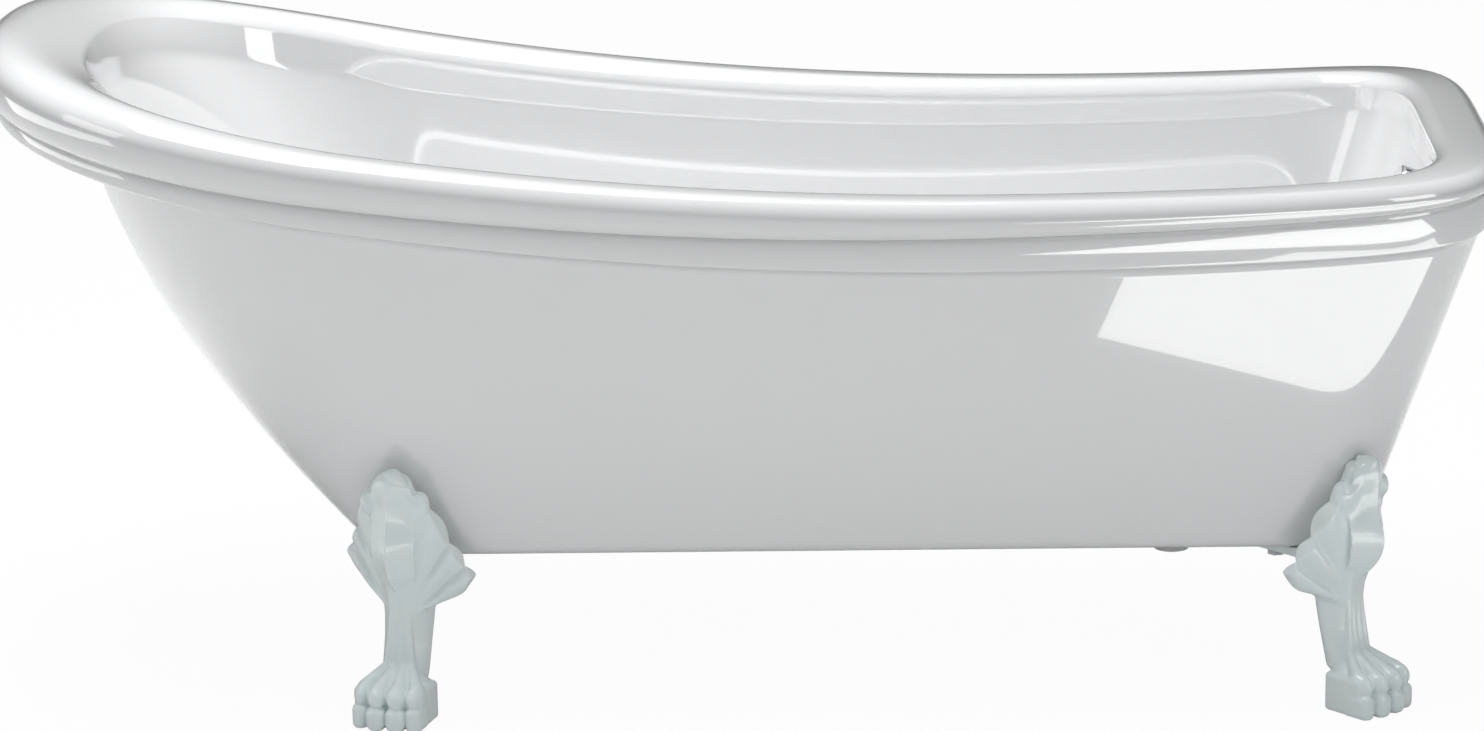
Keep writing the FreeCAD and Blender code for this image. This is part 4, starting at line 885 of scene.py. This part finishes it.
# ---------------------------------------- finishes
@dataclass(frozen=True)
class Finish:
    """A finish of one material: its colour and how it shines, with fine unevenness.

    Attributes:
        name: name of the material.
        colour: base colour, linear.
        roughness: middle roughness.
        spread: how far the roughness wanders either way.
        metallic: 1 for bare metal.
        coat: weight of a clear coat.
        grain: size of the bump's noise, per metre.
        bump: height of the bump, in metres.
        tint: how far the colour wanders, as a share.
        coat_roughness: roughness of the coat.
        coat_index: refractive index of the coat.
    """

    name: str
    colour: tuple[float, float, float]
    roughness: float = 0.3
    spread: float = 0.05
    metallic: float = 0.0
    coat: float = 0.0
    grain: float = 60.0
    bump: float = 0.0001
    tint: float = 0.02
    coat_roughness: float = 0.02
    coat_index: float = 1.9

    def material(self) -> bpy.types.Material:
        """Build the node material: noise turns into bump, roughness and a slight tint."""
        made = bpy.data.materials.new(self.name)
        made.use_nodes = True
        tree = made.node_tree
        link = tree.links.new
        shader = preset(tree.nodes["Principled BSDF"], Metallic=self.metallic,
                        Coat_Weight=self.coat, Coat_Roughness=self.coat_roughness,
                        Coat_IOR=self.coat_index)
        where = tree.nodes.new("ShaderNodeTexCoord").outputs["Object"]
        fine = preset(tree.nodes.new("ShaderNodeTexNoise"), Scale=self.grain, Detail=3.0)
        slow = preset(tree.nodes.new("ShaderNodeTexNoise"), Scale=self.grain / 12, Detail=2.0)
        link(where, fine.inputs["Vector"])
        link(where, slow.inputs["Vector"])
        rough = preset(tree.nodes.new("ShaderNodeMapRange"),
                       To_Min=max(self.roughness - self.spread, 0.01),
                       To_Max=self.roughness + self.spread)
        link(slow.outputs["Fac"], rough.inputs["Value"])
        link(rough.outputs["Result"], shader.inputs["Roughness"])
        low = tuple(part * (1 - self.tint) for part in self.colour)
        high = tuple(min(part * (1 + self.tint), 1.0) for part in self.colour)
        mix = tree.nodes.new("ShaderNodeMix")
        mix.data_type = "RGBA"
        preset(mix, A=(*low, 1.0), B=(*high, 1.0))
        link(slow.outputs["Fac"], mix.inputs["Factor"])
        link(mix.outputs["Result"], shader.inputs["Base Color"])
        bump = preset(tree.nodes.new("ShaderNodeBump"), Strength=1.0, Distance=self.bump)
        link(fine.outputs["Fac"], bump.inputs["Height"])
        link(bump.outputs["Normal"], shader.inputs["Normal"])
        return made


ACRYLIC = Finish("gloss_white_acrylic", (0.80, 0.80, 0.805), 0.10, spread=0.02, coat=1.0,
                 grain=14.0, bump=0.00006, tint=0.006)
LEG_PAINT = Finish("pale_leg_enamel", (0.81, 0.895, 0.89), 0.24, coat=0.25, grain=90.0,
                   bump=0.0002)
CHROME = Finish("polished_chrome", (0.86, 0.87, 0.88), 0.06, spread=0.02, metallic=1.0,
                grain=30.0, bump=0.00002, tint=0.01)
ZINC = Finish("zinc_plate", (0.60, 0.61, 0.63), 0.38, spread=0.08, metallic=1.0, grain=220.0,
              bump=0.00006, tint=0.05)
RUBBER = Finish("black_rubber", (0.03, 0.03, 0.03), 0.6, spread=0.06, grain=300.0, tint=0.1)
BOARD = Finish("raw_board", (0.42, 0.30, 0.18), 0.7, spread=0.08, grain=240.0, bump=0.0003,
               tint=0.2)
PIPE = Finish("satin_white_pipe", (0.78, 0.78, 0.76), 0.4, grain=120.0)
NUT = Finish("matt_black_moulding", (0.05, 0.05, 0.05), 0.5, grain=150.0, tint=0.05)


def dress(names: Iterable[str], finish: Finish) -> None:
    """Give every slot of the named CAD nodes one finish."""
    material = finish.material()
    for name in names:
        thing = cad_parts[name]
        for slot in thing.material_slots:
            slot.material = material


# ---------------------------------------- studio
@dataclass(frozen=True)
class SoftBox:
    """One area lamp.

    Attributes:
        name: name of the lamp.
        place: where it hangs, in metres.
        size: its width and height, in metres.
        power: its power in watts.
        aim: the point that it faces.
        turn: its rotation from facing down, which is used if it has no aim.
        shows: where it is seen.
    """

    name: str
    place: Point
    size: tuple[float, float]
    power: float
    aim: Point | None = None
    turn: Point = (0.0, 0.0, 0.0)
    shows: Shows = Shows.EVERYWHERE

    def hang(self) -> None:
        """Add the lamp to the scene."""
        data = bpy.data.lights.new(self.name, "AREA")
        data.shape = "RECTANGLE"
        data.size, data.size_y = self.size
        data.energy = self.power
        lamp = linked(self.name, data)
        lamp.location = self.place
        lamp.rotation_euler = self.turn
        if self.aim is not None:
            back = Vector(self.place) - Vector(self.aim)
            lamp.rotation_euler = back.to_track_quat("Z", "Y").to_euler()
        if self.shows is Shows.MATT:
            lamp.visible_glossy = False
        if self.shows is Shows.GLOSS:
            lamp.visible_camera = False
            lamp.visible_diffuse = False


FACING_UP = (math.pi, 0.0, math.radians(22))
FACING_FOOT_END = (math.pi / 2, 0.0, -math.pi / 2)
LAMPS = (
    SoftBox("top_box", (-0.55, 0.2, 3.2), (2.6, 1.3), 92.0, aim=(-0.35, 0.15, 0.4)),
    SoftBox("back_box", (0.2, 3.4, 1.9), (4.0, 1.5), 8.0, aim=(0.0, 0.0, 0.6), shows=Shows.MATT),
    SoftBox("left_box", (-3.0, -1.6, 2.0), (1.4, 1.6), 9.0, aim=(-0.3, 0.0, 0.4)),
    SoftBox("right_window", (2.4, -2.8, 1.8), (1.4, 1.4), 17.0, aim=(0.5, 0.0, 0.3)),
    SoftBox("low_card", (1.25, -1.03, 0.03), (1.3, 1.0), 10.0, turn=FACING_UP,
            shows=Shows.GLOSS),
    SoftBox("far_card", (1.70, -2.5, 0.03), (2.0, 1.6), 34.0, turn=FACING_UP,
            shows=Shows.GLOSS),
    SoftBox("left_card", (-2.3, -0.4, 0.22), (2.1, 0.36), 4.0, turn=FACING_FOOT_END,
            shows=Shows.GLOSS),
)


@dataclass(frozen=True)
class Studio:
    """Floor, world, lamps and the camera of the photograph.

    Attributes:
        azimuth: turn of the camera towards +X, in degrees.
        elevation: its height over the horizon, in degrees.
        roll: its roll, in degrees.
        distance: from the target, in metres.
        target: the point that it faces.
        lens: its focal length, in millimetres.
        floor_size: half the side of the floor, in metres.
        floor_grey: how much light the floor throws back.
        floor_white: share of paper white that the camera sees on the floor.
        sky: strength of the surroundings at the horizon and overhead.
    """

    azimuth: float = 2.45
    elevation: float = 14.77
    roll: float = -0.78
    distance: float = 5.579
    target: Point = (0.0038, 0.0, 0.3194)
    lens: float = 117.2
    floor_size: float = 30.0
    floor_grey: float = 0.85
    floor_white: float = 0.96
    sky: tuple[float, float] = (0.08, 0.60)

    def camera(self) -> None:
        """Stand the camera at the angles and distance that the photograph was fitted with."""
        turn, lift = math.radians(self.azimuth), math.radians(self.elevation)
        back = Vector((math.sin(turn) * math.cos(lift), -math.cos(turn) * math.cos(lift),
                       math.sin(lift)))
        data = bpy.data.cameras.new("photo_camera")
        data.lens = self.lens
        data.sensor_width = 36.0
        data.clip_end = 50.0
        camera = linked("photo_camera", data)
        place = Matrix.Translation(Vector(self.target) + back * self.distance)
        facing = back.to_track_quat("Z", "Y").to_matrix().to_4x4()
        camera.matrix_world = place @ facing @ Matrix.Rotation(math.radians(self.roll), 4, "Z")
        bpy.context.scene.camera = camera

    def floor(self) -> None:
        """A wide white floor that the camera sees as paper white with a soft shadow."""
        size = self.floor_size
        mesh = bpy.data.meshes.new("floor")
        corners = [(-size, -size, 0.0), (size, -size, 0.0), (size, size, 0.0), (-size, size, 0.0)]
        mesh.from_pydata(corners, [], [(0, 1, 2, 3)])
        made = bpy.data.materials.new("paper_white_floor")
        made.use_nodes = True
        tree = made.node_tree
        link = tree.links.new
        tree.nodes.remove(tree.nodes["Principled BSDF"])
        grey = (*[self.floor_grey] * 3, 1.0)
        diffuse = preset(tree.nodes.new("ShaderNodeBsdfDiffuse"), Color=grey)
        glow = preset(tree.nodes.new("ShaderNodeEmission"), Color=(1.0, 1.0, 1.0, 1.0))
        path = tree.nodes.new("ShaderNodeLightPath")
        share = tree.nodes.new("ShaderNodeMath")
        share.operation = "MULTIPLY"
        share.inputs[1].default_value = self.floor_white
        mix = tree.nodes.new("ShaderNodeMixShader")
        link(path.outputs["Is Camera Ray"], share.inputs[0])
        link(share.outputs["Value"], mix.inputs["Fac"])
        link(diffuse.outputs["BSDF"], mix.inputs[1])
        link(glow.outputs["Emission"], mix.inputs[2])
        link(mix.outputs["Shader"], tree.nodes["Material Output"].inputs["Surface"])
        mesh.materials.append(made)
        linked("floor", mesh)

    def world(self) -> None:
        """Grey surroundings that brighten overhead, and a white backdrop for the camera."""
        world = bpy.data.worlds.new("studio")
        bpy.context.scene.world = world
        world.use_nodes = True
        tree = world.node_tree
        link = tree.links.new
        soft = preset(tree.nodes["Background"], Color=(0.75, 0.76, 0.77, 1.0))
        where = tree.nodes.new("ShaderNodeTexCoord")
        split = tree.nodes.new("ShaderNodeSeparateXYZ")
        height = preset(tree.nodes.new("ShaderNodeMapRange"), From_Min=0.05, From_Max=0.75,
                        To_Min=self.sky[0], To_Max=self.sky[1])
        height.interpolation_type = "SMOOTHSTEP"
        link(where.outputs["Generated"], split.inputs["Vector"])
        link(split.outputs["Z"], height.inputs["Value"])
        link(height.outputs["Result"], soft.inputs["Strength"])
        white = preset(tree.nodes.new("ShaderNodeBackground"), Color=(1.0, 1.0, 1.0, 1.0))
        path = tree.nodes.new("ShaderNodeLightPath")
        mix = tree.nodes.new("ShaderNodeMixShader")
        link(path.outputs["Is Camera Ray"], mix.inputs["Fac"])
        link(soft.outputs["Background"], mix.inputs[1])
        link(white.outputs["Background"], mix.inputs[2])
        link(mix.outputs["Shader"], tree.nodes["World Output"].inputs["Surface"])

    def build(self) -> None:
        """Set up everything round the tub."""
        self.camera()
        self.floor()
        self.world()
        for lamp in LAMPS:
            lamp.hang()
        bpy.context.scene.view_settings.view_transform = "Standard"


def main() -> None:
    """Build and dress every piece, and log the face count of each new one."""
    logging.basicConfig(level=logging.INFO, format="%(message)s")
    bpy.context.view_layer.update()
    acrylic = ACRYLIC.material()
    shell = OuterShell()
    for piece, node in ((Basin().build(), "basin"), (shell.build(), "outer_shell")):
        piece.data.materials.append(acrylic)
        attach(piece, "tub")
        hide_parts(node)
        log.info("%s: %d faces", piece.name, len(piece.data.polygons))
    enamel = LEG_PAINT.material()
    for end, heading, inner in (("head", -106.0, 1), ("foot", -46.0, -1)):
        leg = ClawLeg(f"carved_leg_{end}_right", f"claw_leg_{end}_right",
                      f"leveller_{end}_right", heading, inner)
        for piece in leg.build(shell, f"carved_leg_{end}_left", f"claw_leg_{end}_left"):
            piece.data.materials.append(enamel)
    fixings = ("leg_plate", "leg_bolts", "leg_washers", "leveller")
    dress([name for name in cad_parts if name.startswith(fixings)], ZINC)
    dress(["waste_flange", "waste_plug", "overflow_cover", "overflow_screw"], CHROME)
    dress(["waste_gasket", "waste_washer", "plug_seal", "overflow_gasket"], RUBBER)
    dress(["base_board"], BOARD)
    dress(["waste_body", "overflow_body", "overflow_pipe"], PIPE)
    dress(["waste_nut", "pipe_nuts"], NUT)
    Studio().build()


if __name__ == "__main__":
    main()
